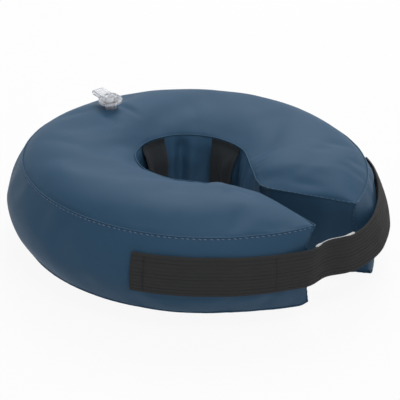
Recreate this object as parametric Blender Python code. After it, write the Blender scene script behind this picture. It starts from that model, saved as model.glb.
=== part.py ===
"""Inflatable neck ring for a pet: a C-shaped air bladder in a sewn fabric cover.

The ring stands on the floor with its neck hole upright (+Z up, metres). The slit
faces -Y, the air valve is at the back (+Y) and a webbing strap sewn to the left arm
closes the slit by pressing its hook tape onto the loop tape of the right arm.
The cover is split once at the back left, where the soft ring flexes open.
"""
import math

import bmesh
import bpy
from mathutils import Matrix, Vector

# Overall sizes
SEAM_RADIUS = 0.135        # ring axis to the outer seams
WALL_HEIGHT = 0.060        # bottom seam to top seam
BORE_RADIUS = 0.044        # neck hole at its seams
BORE_SHIFT = 0.004         # neck hole centre sits towards the valve
WALL_BULGE = 0.011         # outer wall swells past its seams
BORE_BULGE = 0.0025        # bore wall swells into the neck hole
TOP_CROWN = 0.0150         # top panel rises above its seams
BOTTOM_CROWN = 0.0185      # bottom panel before the floor flattens it
FLOOR_FLAT = 0.0022        # crown lost where the ring rests

# Cover and bladder
COVER = 0.0012             # fabric thickness
SEAM_GAP = 0.0003          # clearance between neighbouring pieces
BLADDER_WALL = 0.0006
BLADDER_CLEAR = 0.0015

# Slit between the two arm ends
GAP_RIM_HALF = 0.0255      # half width at the rim
GAP_BORE_HALF = 0.0036     # half width at the bore
GAP_LEAN = -0.008          # slit drifts sideways at the bore
GAP_INNER = 0.067          # ring axis to the inner corners
CORNER_FLARE = 0.004       # outer corners stand past the seam circle
CORNER_RUN = 0.045         # arm length that feels the corner
END_RUN = 0.046            # length over which the swelling dies out
RIGHT_TILT = 0.0140        # right arm end leans back towards the floor
LEFT_TILT = 0.0055         # left arm end leans back towards the floor

# Flex line at the back left
FLEX_ANGLE = math.radians(150.0)

# Webbing
STRAP_WIDTH = 0.030
STRAP_THICK = 0.0016
STRAP_DROP = 0.0275        # top seam to the strap's middle
STRAP_START = math.radians(203.0)
STRAP_HINGE = math.radians(248.0)
STRAP_KNEE = math.radians(284.0)
STRAP_END = math.radians(327.0)
STRAP_SLACK = 0.0050       # strap bows out across the slit
TAPE_WIDTH = 0.026
LOOP_TAPE_THICK = 0.0012
HOOK_TAPE_THICK = 0.0010
HOOK_RISE = 0.0016         # hook tape shows above the strap's top edge
LOOP_TAPE_START = math.radians(303.0)
LOOP_TAPE_END = math.radians(331.0)

# Three loops inside the neck hole for the pet's own collar
LOOP_ANGLES = {"right": math.radians(4.0), "back": math.radians(93.0), "left": math.radians(181.0)}
LOOP_WIDTH = 0.025
LOOP_THICK = 0.0014
LOOP_SLACK = 0.0090        # room behind the loop
LOOP_SEWN = 0.10           # share of the height sewn down at each end

# Air valve
VALVE_OFFSET = 0.0010      # valve axis outside the crown's ridge
VALVE_LEAN = math.radians(6.0)
FLANGE_RADIUS = 0.0115
FLANGE_THICK = 0.0012
STEM_RADIUS = 0.0050
STEM_BORE = 0.0034
STEM_RISE = 0.0052         # cover to the underside of the stem's disc
STEM_DEPTH = 0.0120        # stem below the cover
DISC_RADIUS = 0.0098
DISC_THICK = 0.0016
PLUG_RADIUS = 0.0060
PLUG_THICK = 0.0032
PLUG_SHAFT = 0.0030
PLUG_DEPTH = 0.0042
TETHER_WIDTH = 0.0075
TETHER_THICK = 0.0012
TETHER_REACH = 0.0190      # valve axis to the fold
TETHER_ANGLE = math.radians(77.0)
FLAP_RADIUS = 0.0042
FLAP_THICK = 0.0006

# Mesh steps
RING_STEP = math.radians(7.5)
STRAP_STEP = math.radians(3.6)
RADIAL_STEPS = 8
HEIGHT_STEPS = 8
ROUND_STEPS = 24

RIGHT = 1
LEFT = -1

BOTTOM_SEAM = COVER + BOTTOM_CROWN - FLOOR_FLAT
TOP_SEAM = BOTTOM_SEAM + WALL_HEIGHT
RIM_RADIUS = SEAM_RADIUS + WALL_BULGE
STRAP_HEIGHT = TOP_SEAM - STRAP_DROP
MID_RADIUS = 0.5 * (SEAM_RADIUS + BORE_RADIUS)


def clear_objects():
    for item in list(bpy.data.objects):
        bpy.data.objects.remove(item, do_unlink=True)


def make_material(name, colour, roughness, metallic=0.0):
    material = bpy.data.materials.new(name)
    material.use_nodes = True
    shader = material.node_tree.nodes["Principled BSDF"]
    shader.inputs["Base Color"].default_value = (*colour, 1.0)
    shader.inputs["Roughness"].default_value = roughness
    shader.inputs["Metallic"].default_value = metallic
    return material


def finish(name, bm, material, smooth=True, parent=None):
    """Turn a bmesh into a named object with outward faces."""
    bmesh.ops.recalc_face_normals(bm, faces=bm.faces)
    for face in bm.faces:
        face.smooth = smooth
    mesh = bpy.data.meshes.new(name)
    bm.to_mesh(mesh)
    bm.free()
    mesh.materials.append(material)
    item = bpy.data.objects.new(name, mesh)
    bpy.context.scene.collection.objects.link(item)
    item.parent = parent
    return item


def sheet(name, rows, cols, front, back, material, parent=None, origin=Vector()):
    """Closed sheet between two grids; front and back map shares (0..1) to points."""
    bm = bmesh.new()
    layers = []
    for surface in (front, back):
        grid = [[bm.verts.new(surface(a, b) - origin) for b in cols] for a in rows]
        layers.append(grid)
    top, under = layers
    last_row, last_col = len(rows) - 1, len(cols) - 1
    for i in range(last_row):
        for j in range(last_col):
            bm.faces.new((top[i][j], top[i + 1][j], top[i + 1][j + 1], top[i][j + 1]))
            bm.faces.new((under[i][j + 1], under[i + 1][j + 1], under[i + 1][j], under[i][j]))
    rim = [(i, 0) for i in range(last_row)] + [(last_row, j) for j in range(last_col)]
    rim += [(i, last_col) for i in range(last_row, 0, -1)] + [(0, j) for j in range(last_col, 0, -1)]
    for k, (i, j) in enumerate(rim):
        m, n = rim[(k + 1) % len(rim)]
        bm.faces.new((top[i][j], under[i][j], under[m][n], top[m][n]))
    item = finish(name, bm, material, parent=parent)
    item.location = origin
    return item


def lathe(name, outline, material, parent=None):
    """Closed solid of revolution from a closed (radius, height) outline."""
    bm = bmesh.new()
    rings = []
    for radius, height in outline:
        if radius < 1e-6:
            pole = bm.verts.new((0.0, 0.0, height))
            rings.append([pole] * ROUND_STEPS)
            continue
        turns = [math.tau * k / ROUND_STEPS for k in range(ROUND_STEPS)]
        rings.append([bm.verts.new((radius * math.cos(a), radius * math.sin(a), height)) for a in turns])
    for i, ring in enumerate(rings):
        after = rings[(i + 1) % len(rings)]
        for k in range(ROUND_STEPS):
            n = (k + 1) % ROUND_STEPS
            corners = []
            for vert in (ring[k], ring[n], after[n], after[k]):
                if vert not in corners:
                    corners.append(vert)
            if len(corners) > 2:
                bm.faces.new(corners)
    return finish(name, bm, material, parent=parent)


def spread(count, ease=1.0):
    """Shares from 0 to 1, closer together near 1 when ease is above 1."""
    return [1.0 - (1.0 - k / count) ** ease for k in range(count + 1)]


def bump(share, power):
    return 1.0 - abs(2.0 * share - 1.0) ** power


def swelling(share):
    """Inflated swelling along an arm: full in its run, nothing at its sewn end."""
    rest = 1.0 - min(max(share, 0.0), 1.0)
    return math.sqrt(max(1.0 - rest * rest, 0.0))


def end_corners(side, inset):
    """Inner and outer corner of an arm end in plan, moved into the arm by inset."""
    reach = SEAM_RADIUS + CORNER_FLARE
    inner = Vector((GAP_LEAN + side * GAP_BORE_HALF, -GAP_INNER))
    outer = Vector((side * GAP_RIM_HALF, -math.sqrt(reach ** 2 - GAP_RIM_HALF ** 2)))
    along = (outer - inner).normalized()
    into = Vector((-along.y, along.x)) * side
    return inner + into * inset, outer + into * inset


def bore_edge(side, angle):
    """Distance of the bore seam from the ring axis: a circle drawn out to the slit."""
    centre = Vector((0.0, BORE_SHIFT))
    corner = end_corners(side, 0.0)[0] - centre
    lean = math.atan2(corner.y, corner.x) + (math.tau if side == LEFT else 0.0)
    touch = lean + side * math.acos(BORE_RADIUS / corner.length)
    normal = Vector((math.cos(touch), math.sin(touch)))
    contact = centre + normal * BORE_RADIUS
    turn = math.atan2(contact.y, contact.x) + (math.tau if side == LEFT else 0.0)
    if (turn - angle) * side > 0.0:
        offset = BORE_RADIUS + centre.dot(normal)
        return offset / (math.cos(angle) * normal.x + math.sin(angle) * normal.y)
    lift = BORE_SHIFT * math.cos(angle)
    return BORE_SHIFT * math.sin(angle) + math.sqrt(BORE_RADIUS ** 2 - lift ** 2)


def arm_angles(side, u, inset):
    """Start angle at the flex line and end angle at the slit for one arm."""
    inner, outer = end_corners(side, inset)
    end = inner.lerp(outer, u)
    stop = math.atan2(end.y, end.x) + (math.tau if side == LEFT else 0.0)
    start = FLEX_ANGLE - side * 0.5 * SEAM_GAP / BORE_RADIUS
    return start, stop, end.length


def plan(side, t, u, height, inset=0.0, push=0.0):
    """Point of the ring: t along the arm, u across it, push moves it radially."""
    tilt = RIGHT_TILT if side == RIGHT else LEFT_TILT
    tilt *= min(max((TOP_SEAM - height) / WALL_HEIGHT, 0.0), 1.0)
    start, stop, reach = arm_angles(side, u, inset + tilt)
    angle = start + (stop - start) * t
    inner = bore_edge(side, angle)
    radius = inner + (SEAM_RADIUS - inner) * u
    rest = (1.0 - t) * abs(stop - start) * MID_RADIUS
    pull = (1.0 - min(rest / (CORNER_RUN * (0.15 + 0.85 * u)), 1.0)) ** 2
    radius += (reach - radius) * pull + push
    return Vector((radius * math.cos(angle), radius * math.sin(angle), height))


def arm_swelling(side, t):
    start, stop, _ = arm_angles(side, 0.5, 0.0)
    return swelling((1.0 - t) * abs(stop - start) * MID_RADIUS / END_RUN)


def wall_bulge(side, t, v):
    return WALL_BULGE * arm_swelling(side, t) * bump(v, 2.2)


def bore_bulge(side, t, v):
    return BORE_BULGE * arm_swelling(side, t) * bump(v, 2.2)


def top_rise(side, t, u):
    return TOP_CROWN * arm_swelling(side, t) * bump(u, 2.4)


def bottom_fall(side, t, u):
    return min(BOTTOM_CROWN * arm_swelling(side, t) * bump(u, 2.4), BOTTOM_CROWN - FLOOR_FLAT)


def stations(side):
    start, stop, _ = arm_angles(side, 0.5, 0.0)
    return spread(max(round(abs(stop - start) / RING_STEP), 6), 1.25)


def build_cover(side, tag, fabric):
    """Top, bottom, outer, bore and end panels of one arm."""
    along = stations(side)
    across = [k / RADIAL_STEPS for k in range(RADIAL_STEPS + 1)]
    half = 0.5 * SEAM_GAP

    def top_outer(t, u):
        return plan(side, t, u, TOP_SEAM) + Vector((0, 0, COVER + top_rise(side, t, u)))

    def top_inner(t, u):
        return plan(side, t, u, TOP_SEAM) + Vector((0, 0, half + top_rise(side, t, u)))

    def bottom_outer(t, u):
        return plan(side, t, u, BOTTOM_SEAM) - Vector((0, 0, COVER + bottom_fall(side, t, u)))

    def bottom_inner(t, u):
        return plan(side, t, u, BOTTOM_SEAM) - Vector((0, 0, half + bottom_fall(side, t, u)))

    def height_at(v):
        return BOTTOM_SEAM + half + (WALL_HEIGHT - SEAM_GAP) * v

    def rim(t, v, depth):
        return plan(side, t, 1.0, height_at(v), COVER + SEAM_GAP, wall_bulge(side, t, v) - depth)

    def bore(t, v, depth):
        return plan(side, t, 0.0, height_at(v), 1.6 * COVER + SEAM_GAP, depth - bore_bulge(side, t, v))

    def end_face(u, v, depth):
        return plan(side, 1.0, u, height_at(v), depth)

    top = sheet("top_panel_" + tag, along, across, top_outer, top_inner, fabric)
    sheet("bottom_panel_" + tag, along, across, bottom_outer, bottom_inner, fabric)
    up = [k / HEIGHT_STEPS for k in range(HEIGHT_STEPS + 1)]
    sheet("outer_wall_" + tag, along, up, lambda t, v: rim(t, v, 0.0), lambda t, v: rim(t, v, COVER), fabric)
    few = [k / 6 for k in range(7)]
    sheet("bore_wall_" + tag, along, few, lambda t, v: bore(t, v, 0.0), lambda t, v: bore(t, v, COVER), fabric)
    sheet("end_panel_" + tag, across, few, lambda u, v: end_face(u, v, 0.0),
          lambda u, v: end_face(u, v, COVER), fabric)
    return top


def build_bladder(side, tag, vinyl):
    """Thin hollow tube closed at the slit and open at the flex line."""
    start, stop, _ = arm_angles(side, 0.5, 0.0)
    along = spread(max(round(abs(stop - start) / (1.5 * RING_STEP)), 6), 1.25)
    loop = [(1.0, k / 3) for k in range(4)]
    loop += [(1.0 - k / RADIAL_STEPS, 2.0) for k in range(1, RADIAL_STEPS)]
    loop += [(0.0, 1.0 - k / 2) for k in range(3)]
    loop += [(k / RADIAL_STEPS, -1.0) for k in range(1, RADIAL_STEPS)]

    def point(t, u, v, depth):
        lift = BLADDER_CLEAR - 0.5 * SEAM_GAP + depth
        gap = COVER + BLADDER_CLEAR + depth
        inset = 1.5 * gap
        if v > 1.5:
            height = TOP_SEAM - lift
            rise = top_rise(side, t, u)
            return plan(side, t, u, height, inset, gap * (1.0 - 2.0 * u)) + Vector((0, 0, rise))
        if v < -0.5:
            height = BOTTOM_SEAM + lift
            fall = bottom_fall(side, t, u)
            return plan(side, t, u, height, inset, gap * (1.0 - 2.0 * u)) - Vector((0, 0, fall))
        height = BOTTOM_SEAM + lift + (WALL_HEIGHT - 2.0 * lift) * v
        if u > 0.5:
            return plan(side, t, u, height, inset, wall_bulge(side, t, v) - gap)
        return plan(side, t, u, height, inset, gap - bore_bulge(side, t, v))

    bm = bmesh.new()
    skins = []
    for depth in (0.0, BLADDER_WALL):
        skins.append([[bm.verts.new(point(t, u, v, depth)) for u, v in loop] for t in along])
    count = len(loop)
    for skin in skins:
        for i in range(len(along) - 1):
            for j in range(count):
                k = (j + 1) % count
                bm.faces.new((skin[i][j], skin[i + 1][j], skin[i + 1][k], skin[i][k]))
        bm.faces.new(skin[-1])
    outer, inner = skins[0][0], skins[1][0]
    for j in range(count):
        k = (j + 1) % count
        bm.faces.new((outer[j], outer[k], inner[k], inner[j]))
    return finish("bladder_" + tag, bm, vinyl)


def strap_radius(angle):
    """Inner face of the strap: sewn to the wall, bowed over the slit, on the tape at its end."""
    sewn = RIM_RADIUS + SEAM_GAP
    taped = sewn + LOOP_TAPE_THICK + HOOK_TAPE_THICK + 2.0 * SEAM_GAP
    share = min(max((angle - STRAP_HINGE) / (LOOP_TAPE_START - STRAP_HINGE), 0.0), 1.0)
    ease = share * share * (3.0 - 2.0 * share)
    reach = min(max((angle - STRAP_HINGE) / (STRAP_END - STRAP_HINGE), 0.0), 1.0)
    return sewn + (taped - sewn) * ease + STRAP_SLACK * math.sin(math.pi * reach) ** 2


def wall_lean(height):
    """How far the wall falls back at a height, against its fullest radius."""
    v = (height - BOTTOM_SEAM) / WALL_HEIGHT
    return WALL_BULGE * (bump(v, 2.2) - 1.0)


def wall_reach(angle, height):
    """Distance of the left arm's outer wall from the ring axis, or nothing past its end."""
    start, stop, _ = arm_angles(LEFT, 1.0, COVER + SEAM_GAP)
    t = (angle - start) / (stop - start)
    if t < 0.0 or t > 1.0:
        return 0.0
    v = (height - BOTTOM_SEAM) / WALL_HEIGHT
    return plan(LEFT, t, 1.0, height, COVER + SEAM_GAP, wall_bulge(LEFT, t, v)).xy.length


def band(name, begin, end, low, high, radius, thick, material, origin=Vector()):
    """Curved band on the outer wall between two angles and two heights."""
    steps = max(math.ceil(abs(end - begin) / STRAP_STEP), 2)
    turns = [begin + (end - begin) * k / steps for k in range(steps + 1)]
    heights = [low + (high - low) * k / 6 for k in range(7)]

    def face(angle, height, out):
        reach = max(radius(angle) + wall_lean(height), wall_reach(angle, height) + SEAM_GAP) + out
        return Vector((reach * math.cos(angle), reach * math.sin(angle), height))

    return sheet(name, turns, heights, lambda a, z: face(a, z, thick), lambda a, z: face(a, z, 0.0),
                 material, origin=origin)


def fold_point(angle, radius):
    """Vertical fold line of the strap at its outer face."""
    reach = radius + STRAP_THICK + SEAM_GAP
    return Vector((reach * math.cos(angle), reach * math.sin(angle), STRAP_HEIGHT))


def build_strap(webbing, hook, loop):
    low = STRAP_HEIGHT - 0.5 * STRAP_WIDTH
    high = STRAP_HEIGHT + 0.5 * STRAP_WIDTH
    slot = 0.5 * SEAM_GAP / RIM_RADIUS
    root = fold_point(STRAP_HINGE, strap_radius(STRAP_HINGE))
    knee = fold_point(STRAP_KNEE, strap_radius(STRAP_KNEE))
    band("strap_anchor", STRAP_START, STRAP_HINGE - slot, low, high, strap_radius, STRAP_THICK, webbing)
    band("strap_bridge", STRAP_HINGE + slot, STRAP_KNEE - slot, low, high, strap_radius, STRAP_THICK,
         webbing, origin=root)
    band("strap_tail", STRAP_KNEE + slot, STRAP_END, low, high, strap_radius, STRAP_THICK,
         webbing, origin=knee)

    def hook_radius(angle):
        return strap_radius(angle) - SEAM_GAP - HOOK_TAPE_THICK

    tape_high = high + HOOK_RISE
    tape_low = tape_high - TAPE_WIDTH
    margin = math.radians(14.0)
    band("hook_tape_bridge", STRAP_HINGE + margin, STRAP_KNEE - slot, tape_low, tape_high, hook_radius,
         HOOK_TAPE_THICK, hook, origin=root)
    band("hook_tape_tail", STRAP_KNEE + slot, STRAP_END - 2.0 * slot, tape_low, tape_high, hook_radius,
         HOOK_TAPE_THICK, hook, origin=knee)
    tape_mid = STRAP_HEIGHT - HOOK_RISE
    band("loop_tape", LOOP_TAPE_START, LOOP_TAPE_END, tape_mid - 0.5 * TAPE_WIDTH, tape_mid + 0.5 * TAPE_WIDTH,
         lambda angle: RIM_RADIUS + SEAM_GAP, LOOP_TAPE_THICK, loop)


def build_collar_loop(tag, centre, webbing):
    """Webbing strip sewn to the bore wall top and bottom, standing off in between."""
    side = RIGHT if centre < FLEX_ANGLE else LEFT
    turn = 0.5 * LOOP_WIDTH / BORE_RADIUS
    turns = [centre - turn + 2.0 * turn * k / 5 for k in range(6)]
    shares = [k / 12 for k in range(13)]

    def face(angle, share, out):
        v = 0.025 + 0.95 * share
        free = min(max((share - LOOP_SEWN) / (1.0 - 2.0 * LOOP_SEWN), 0.0), 1.0)
        stand = SEAM_GAP + LOOP_SLACK * bump(free, 2.6)
        reach = bore_edge(side, angle) - BORE_BULGE * bump(v, 2.2) - stand - out
        return Vector((reach * math.cos(angle), reach * math.sin(angle), BOTTOM_SEAM + WALL_HEIGHT * v))

    return sheet("collar_loop_" + tag, turns, shares, lambda a, s: face(a, s, LOOP_THICK),
                 lambda a, s: face(a, s, 0.0), webbing)


def strip(name, path, material, parent, origin=Vector()):
    """Flat tether strip: a path of (reach, height) centres swept to the tether width."""
    out = Vector((math.cos(TETHER_ANGLE), math.sin(TETHER_ANGLE), 0.0))
    across = Vector((-out.y, out.x, 0.0))
    points = [out * reach + Vector((0.0, 0.0, height)) for reach, height in path]
    normals = []
    for k, point in enumerate(points):
        ahead = points[min(k + 1, len(points) - 1)] - points[max(k - 1, 0)]
        normals.append(across.cross(ahead).normalized() * 0.5 * TETHER_THICK)

    def face(k, share, sign):
        return points[k] + normals[k] * sign + across * TETHER_WIDTH * (share - 0.5)

    return sheet(name, list(range(len(points))), [0.0, 0.5, 1.0], lambda k, s: face(k, s, 1.0),
                 lambda k, s: face(k, s, -1.0), material, parent=parent, origin=origin)


def valve_seat():
    """Empty on the cover at the valve, leaning with the soft crown."""
    seat = bpy.data.objects.new("valve_seat", None)
    inner = bore_edge(RIGHT, 0.5 * math.pi)
    reach = 0.5 * (inner + SEAM_RADIUS) + VALVE_OFFSET
    u = (reach - inner) / (SEAM_RADIUS - inner)
    height = TOP_SEAM + COVER + TOP_CROWN * bump(u, 2.4)
    seat.location = (0.0, reach, height)
    seat.rotation_euler = (0.0, -VALVE_LEAN, 0.0)
    bpy.context.scene.collection.objects.link(seat)
    return seat


def build_valve(seat, vinyl):
    bore = STEM_RADIUS + SEAM_GAP
    under = -(1.5 * COVER + BLADDER_CLEAR + BLADDER_WALL + FLANGE_RADIUS * math.sin(VALVE_LEAN))
    lathe("valve_flange", [(bore, under), (FLANGE_RADIUS, under), (FLANGE_RADIUS, under - FLANGE_THICK),
                           (bore, under - FLANGE_THICK)], vinyl, seat)
    rise = STEM_RISE
    deck = rise + DISC_THICK
    lathe("valve_stem", [(STEM_BORE, deck), (DISC_RADIUS - 0.0004, deck), (DISC_RADIUS, deck - 0.0004),
                         (DISC_RADIUS, rise + 0.0003), (DISC_RADIUS - 0.0003, rise), (STEM_RADIUS, rise - 0.0004),
                         (STEM_RADIUS, -STEM_DEPTH), (STEM_BORE, -STEM_DEPTH)], vinyl, seat)
    base = deck + SEAM_GAP
    cap = base + PLUG_THICK
    tip = deck - PLUG_DEPTH
    plug = lathe("valve_plug", [(0.0, tip), (PLUG_SHAFT - 0.0007, tip), (PLUG_SHAFT, deck), (PLUG_SHAFT, base),
                                (PLUG_RADIUS, base), (PLUG_RADIUS, cap - 0.0006), (PLUG_RADIUS - 0.0006, cap),
                                (PLUG_RADIUS - 0.0018, cap), (PLUG_RADIUS - 0.0022, cap - 0.0008),
                                (0.0, cap - 0.0008)], vinyl, seat)
    low = rise + 0.5 * DISC_THICK
    high = base + 0.5 * PLUG_THICK
    fold = 0.5 * (low + high)
    reach = TETHER_REACH
    turn = 0.5 * (high - low)
    hinge = Vector((math.cos(TETHER_ANGLE), math.sin(TETHER_ANGLE), 0.0)) * (reach + turn + 0.5 * TETHER_THICK)
    hinge.z = fold
    sweep = math.acos(SEAM_GAP / turn)
    arc = [sweep * k / 4 for k in range(5)]
    lower = [(DISC_RADIUS + SEAM_GAP, low), (0.5 * (DISC_RADIUS + reach), low)]
    lower += [(reach + turn * math.sin(a), fold - turn * math.cos(a)) for a in arc]
    upper = [(PLUG_RADIUS + SEAM_GAP, high), (0.5 * (PLUG_RADIUS + reach), high)]
    upper += [(reach + turn * math.sin(a), fold + turn * math.cos(a)) for a in arc]
    strip("valve_tether_stem", lower, vinyl, seat)
    arm = strip("valve_tether_plug", upper, vinyl, seat, origin=hinge)
    for vert in plug.data.vertices:
        vert.co -= hinge
    plug.location = hinge
    edge = FLAP_RADIUS + 0.0004
    away = Vector((math.cos(TETHER_ANGLE), math.sin(TETHER_ANGLE), 0.0))
    flap = lathe("valve_flap", [(0.0, -STEM_DEPTH - SEAM_GAP), (FLAP_RADIUS, -STEM_DEPTH - SEAM_GAP),
                                (FLAP_RADIUS, -STEM_DEPTH - SEAM_GAP - FLAP_THICK),
                                (0.0, -STEM_DEPTH - SEAM_GAP - FLAP_THICK)], vinyl, seat)
    pivot = away * edge + Vector((0.0, 0.0, -STEM_DEPTH - SEAM_GAP))
    for vert in flap.data.vertices:
        vert.co -= pivot
    flap.location = pivot
    return arm


def cut_hole(item, seat, radius):
    """Round hole for the valve stem through one panel."""
    bm = bmesh.new()
    bmesh.ops.create_cone(bm, cap_ends=True, segments=ROUND_STEPS, radius1=radius, radius2=radius, depth=0.012)
    mesh = bpy.data.meshes.new("cutter_" + item.name)
    bm.to_mesh(mesh)
    bm.free()
    cutter = bpy.data.objects.new("cutter_" + item.name, mesh)
    cutter.parent = seat
    cutter.hide_render = True
    cutter.display_type = "WIRE"
    bpy.context.scene.collection.objects.link(cutter)
    cut = item.modifiers.new("valve_hole", "BOOLEAN")
    cut.operation = "DIFFERENCE"
    cut.solver = "EXACT"
    cut.object = cutter


def main():
    clear_objects()
    cover = make_material("cover_fabric", (0.058, 0.102, 0.150), 0.80)
    bladder = make_material("bladder_vinyl", (0.42, 0.45, 0.48), 0.35)
    webbing = make_material("black_webbing", (0.022, 0.023, 0.025), 0.85)
    hook = make_material("pale_hook_tape", (0.62, 0.64, 0.66), 0.70)
    loop = make_material("dark_loop_tape", (0.020, 0.024, 0.030), 0.95)
    valve = make_material("clear_vinyl", (0.48, 0.49, 0.53), 0.25)
    seat = valve_seat()
    for side, tag in ((RIGHT, "body"), (LEFT, "left_arm")):
        top = build_cover(side, tag, cover)
        air = build_bladder(side, tag, bladder)
        if side == RIGHT:
            cut_hole(top, seat, STEM_RADIUS + 0.0006)
            cut_hole(air, seat, STEM_RADIUS + 0.0006)
    build_strap(webbing, hook, loop)
    for tag, centre in LOOP_ANGLES.items():
        build_collar_loop(tag, centre, webbing)
    build_valve(seat, valve)


main()
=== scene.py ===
# %% [markdown]
# # An inflatable neck ring, finished for rendering
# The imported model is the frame: it holds every rigid shape, size and joint. The real ring is soft, so almost
# all of it is drawn again here as sewn cloth, webbing and clear vinyl that ride on the frame's bodies.

# %% Load the frame
import math

import bmesh
import bpy
import numpy as np
from mathutils import Matrix, Vector, noise


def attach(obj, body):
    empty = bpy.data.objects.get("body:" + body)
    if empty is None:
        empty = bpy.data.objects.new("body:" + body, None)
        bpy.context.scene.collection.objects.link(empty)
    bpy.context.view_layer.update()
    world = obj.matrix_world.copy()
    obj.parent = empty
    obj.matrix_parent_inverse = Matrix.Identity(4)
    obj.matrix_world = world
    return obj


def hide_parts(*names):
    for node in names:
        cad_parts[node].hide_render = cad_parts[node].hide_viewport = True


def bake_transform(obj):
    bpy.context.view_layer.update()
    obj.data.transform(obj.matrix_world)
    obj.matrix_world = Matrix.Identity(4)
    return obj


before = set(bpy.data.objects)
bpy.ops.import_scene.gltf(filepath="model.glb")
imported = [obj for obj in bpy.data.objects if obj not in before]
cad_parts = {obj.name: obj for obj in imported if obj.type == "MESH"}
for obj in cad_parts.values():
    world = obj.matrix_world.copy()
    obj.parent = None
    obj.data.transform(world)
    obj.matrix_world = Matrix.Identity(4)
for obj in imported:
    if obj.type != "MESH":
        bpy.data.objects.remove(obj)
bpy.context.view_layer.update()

# %% [markdown]
# ## Camera
# The photograph looks down at the ring past its slit with a long lens and a slight roll. The camera is
# placed from the ring's middle along that line of sight and aimed a little low, so the ring sits high in the
# picture without any lens shift.

# %% Camera
PHOTO_PX, SENSOR_WIDTH = 400.0, 36.0
VIEW_AZIMUTH, VIEW_ELEVATION, VIEW_ROLL = math.radians(-49.9), math.radians(24.257), math.radians(2.487)
VIEW_DISTANCE, FOCAL_PX = 1.215, 1548.95
RING_MIDDLE_PX = (195.6, 158.8)
RING_MIDDLE = Vector((0.0, 0.0, 0.0775))

level = math.cos(VIEW_ELEVATION)
back = Vector((math.sin(VIEW_AZIMUTH) * level, -math.cos(VIEW_AZIMUTH) * level, math.sin(VIEW_ELEVATION)))
flat_right = Vector((math.cos(VIEW_AZIMUTH), math.sin(VIEW_AZIMUTH), 0.0))
flat_up = back.cross(flat_right)
right = flat_right * math.cos(VIEW_ROLL) + flat_up * math.sin(VIEW_ROLL)
down = flat_right * math.sin(VIEW_ROLL) - flat_up * math.cos(VIEW_ROLL)
aim_x = (0.5 * PHOTO_PX - RING_MIDDLE_PX[0]) / FOCAL_PX
aim_y = (0.5 * PHOTO_PX - RING_MIDDLE_PX[1]) / FOCAL_PX
forward = (right * aim_x + down * aim_y - back).normalized()
right = (right - forward * right.dot(forward)).normalized()
up = right.cross(forward)

scene = bpy.context.scene
camera = bpy.data.objects.new("camera", bpy.data.cameras.new("camera"))
camera.data.sensor_width = SENSOR_WIDTH
camera.data.lens = SENSOR_WIDTH * FOCAL_PX / PHOTO_PX
camera.data.clip_start = 0.01
axes = Matrix((right, up, -forward)).transposed().to_4x4()
camera.matrix_world = Matrix.Translation(RING_MIDDLE + back * VIEW_DISTANCE) @ axes
scene.collection.objects.link(camera)
scene.camera = camera
print("lens", round(camera.data.lens, 1), "mm")

# %% [markdown]
# ## Studio
# A pale floor, a bright even sky and two broad lamps: the stronger one hangs behind the ring as the camera
# sees it, the weaker one on the camera's side. A floor that is lit until it turns white would also bleach
# the cloth, so this one glows only where something looks straight at it, and still catches a soft contact
# shadow.

# %% Studio helpers
scene.view_settings.view_transform = "Standard"


def maths(tree, operation, *values):
    """Output of a maths node that is fed with numbers or with other nodes' outputs."""
    node = tree.nodes.new("ShaderNodeMath")
    node.operation = operation
    for k, value in enumerate(values):
        if isinstance(value, (int, float)):
            node.inputs[k].default_value = value
        else:
            tree.links.new(value, node.inputs[k])
    return node.outputs[0]


def direct_view(tree):
    """A mask that is 1 where the camera, a reflection or a clear material looks straight at something."""
    rays = tree.nodes.new("ShaderNodeLightPath").outputs
    either = maths(tree, "MAXIMUM", rays["Is Camera Ray"], rays["Is Glossy Ray"])
    return maths(tree, "MAXIMUM", either, rays["Is Transmission Ray"])


def grey_shader(tree, kind, grey=1.0, strength=None):
    """A white or grey shader of one kind."""
    shader = tree.nodes.new(kind)
    shader.inputs["Color"].default_value = (grey, grey, grey, 1.0)
    if strength is not None:
        shader.inputs["Strength"].default_value = strength
    return shader


def show_by_view(tree, mask, usual, seen, sink):
    """End a tree with its usual shader, and with another one where something looks straight at it."""
    pick = tree.nodes.new("ShaderNodeMixShader")
    tree.links.new(mask, pick.inputs["Fac"])
    tree.links.new(usual.outputs[0], pick.inputs[1])
    tree.links.new(seen.outputs[0], pick.inputs[2])
    tree.links.new(pick.outputs[0], tree.nodes.new(sink).inputs["Surface"])


print("view transform", scene.view_settings.view_transform)

# %% Sky and lamps
SKY_LEVEL = 0.33
LAMPS = {
    # name: place, what it is aimed at, size, power
    "key_lamp": ((0.62, 0.40, 1.05), (0.0, 0.0, 0.05), 0.9, 8.4),
    "fill_lamp": ((-0.45, -0.60, 1.10), (0.02, 0.02, 0.05), 0.5, 4.0),
}

world = bpy.data.worlds.new("studio")
scene.world = world
world.use_nodes = True
sky = world.node_tree
sky.nodes.clear()
white_sky = grey_shader(sky, "ShaderNodeBackground")
dim_sky = grey_shader(sky, "ShaderNodeBackground", strength=SKY_LEVEL)
show_by_view(sky, direct_view(sky), dim_sky, white_sky, "ShaderNodeOutputWorld")

for name, (place, target, size, power) in LAMPS.items():
    lamp = bpy.data.objects.new(name, bpy.data.lights.new(name, "AREA"))
    lamp.data.shape = "DISK"
    lamp.data.size = size
    lamp.data.energy = power
    lamp.location = place
    lamp.rotation_euler = (Vector(target) - Vector(place)).to_track_quat("-Z", "Y").to_euler()
    scene.collection.objects.link(lamp)
print("lamps", sorted(LAMPS))

# %% Floor
FLOOR_RADIUS, FLOOR_LEVEL, FLOOR_GREY, FLOOR_GLOW = 4.0, -0.0002, 0.90, 0.92

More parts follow.
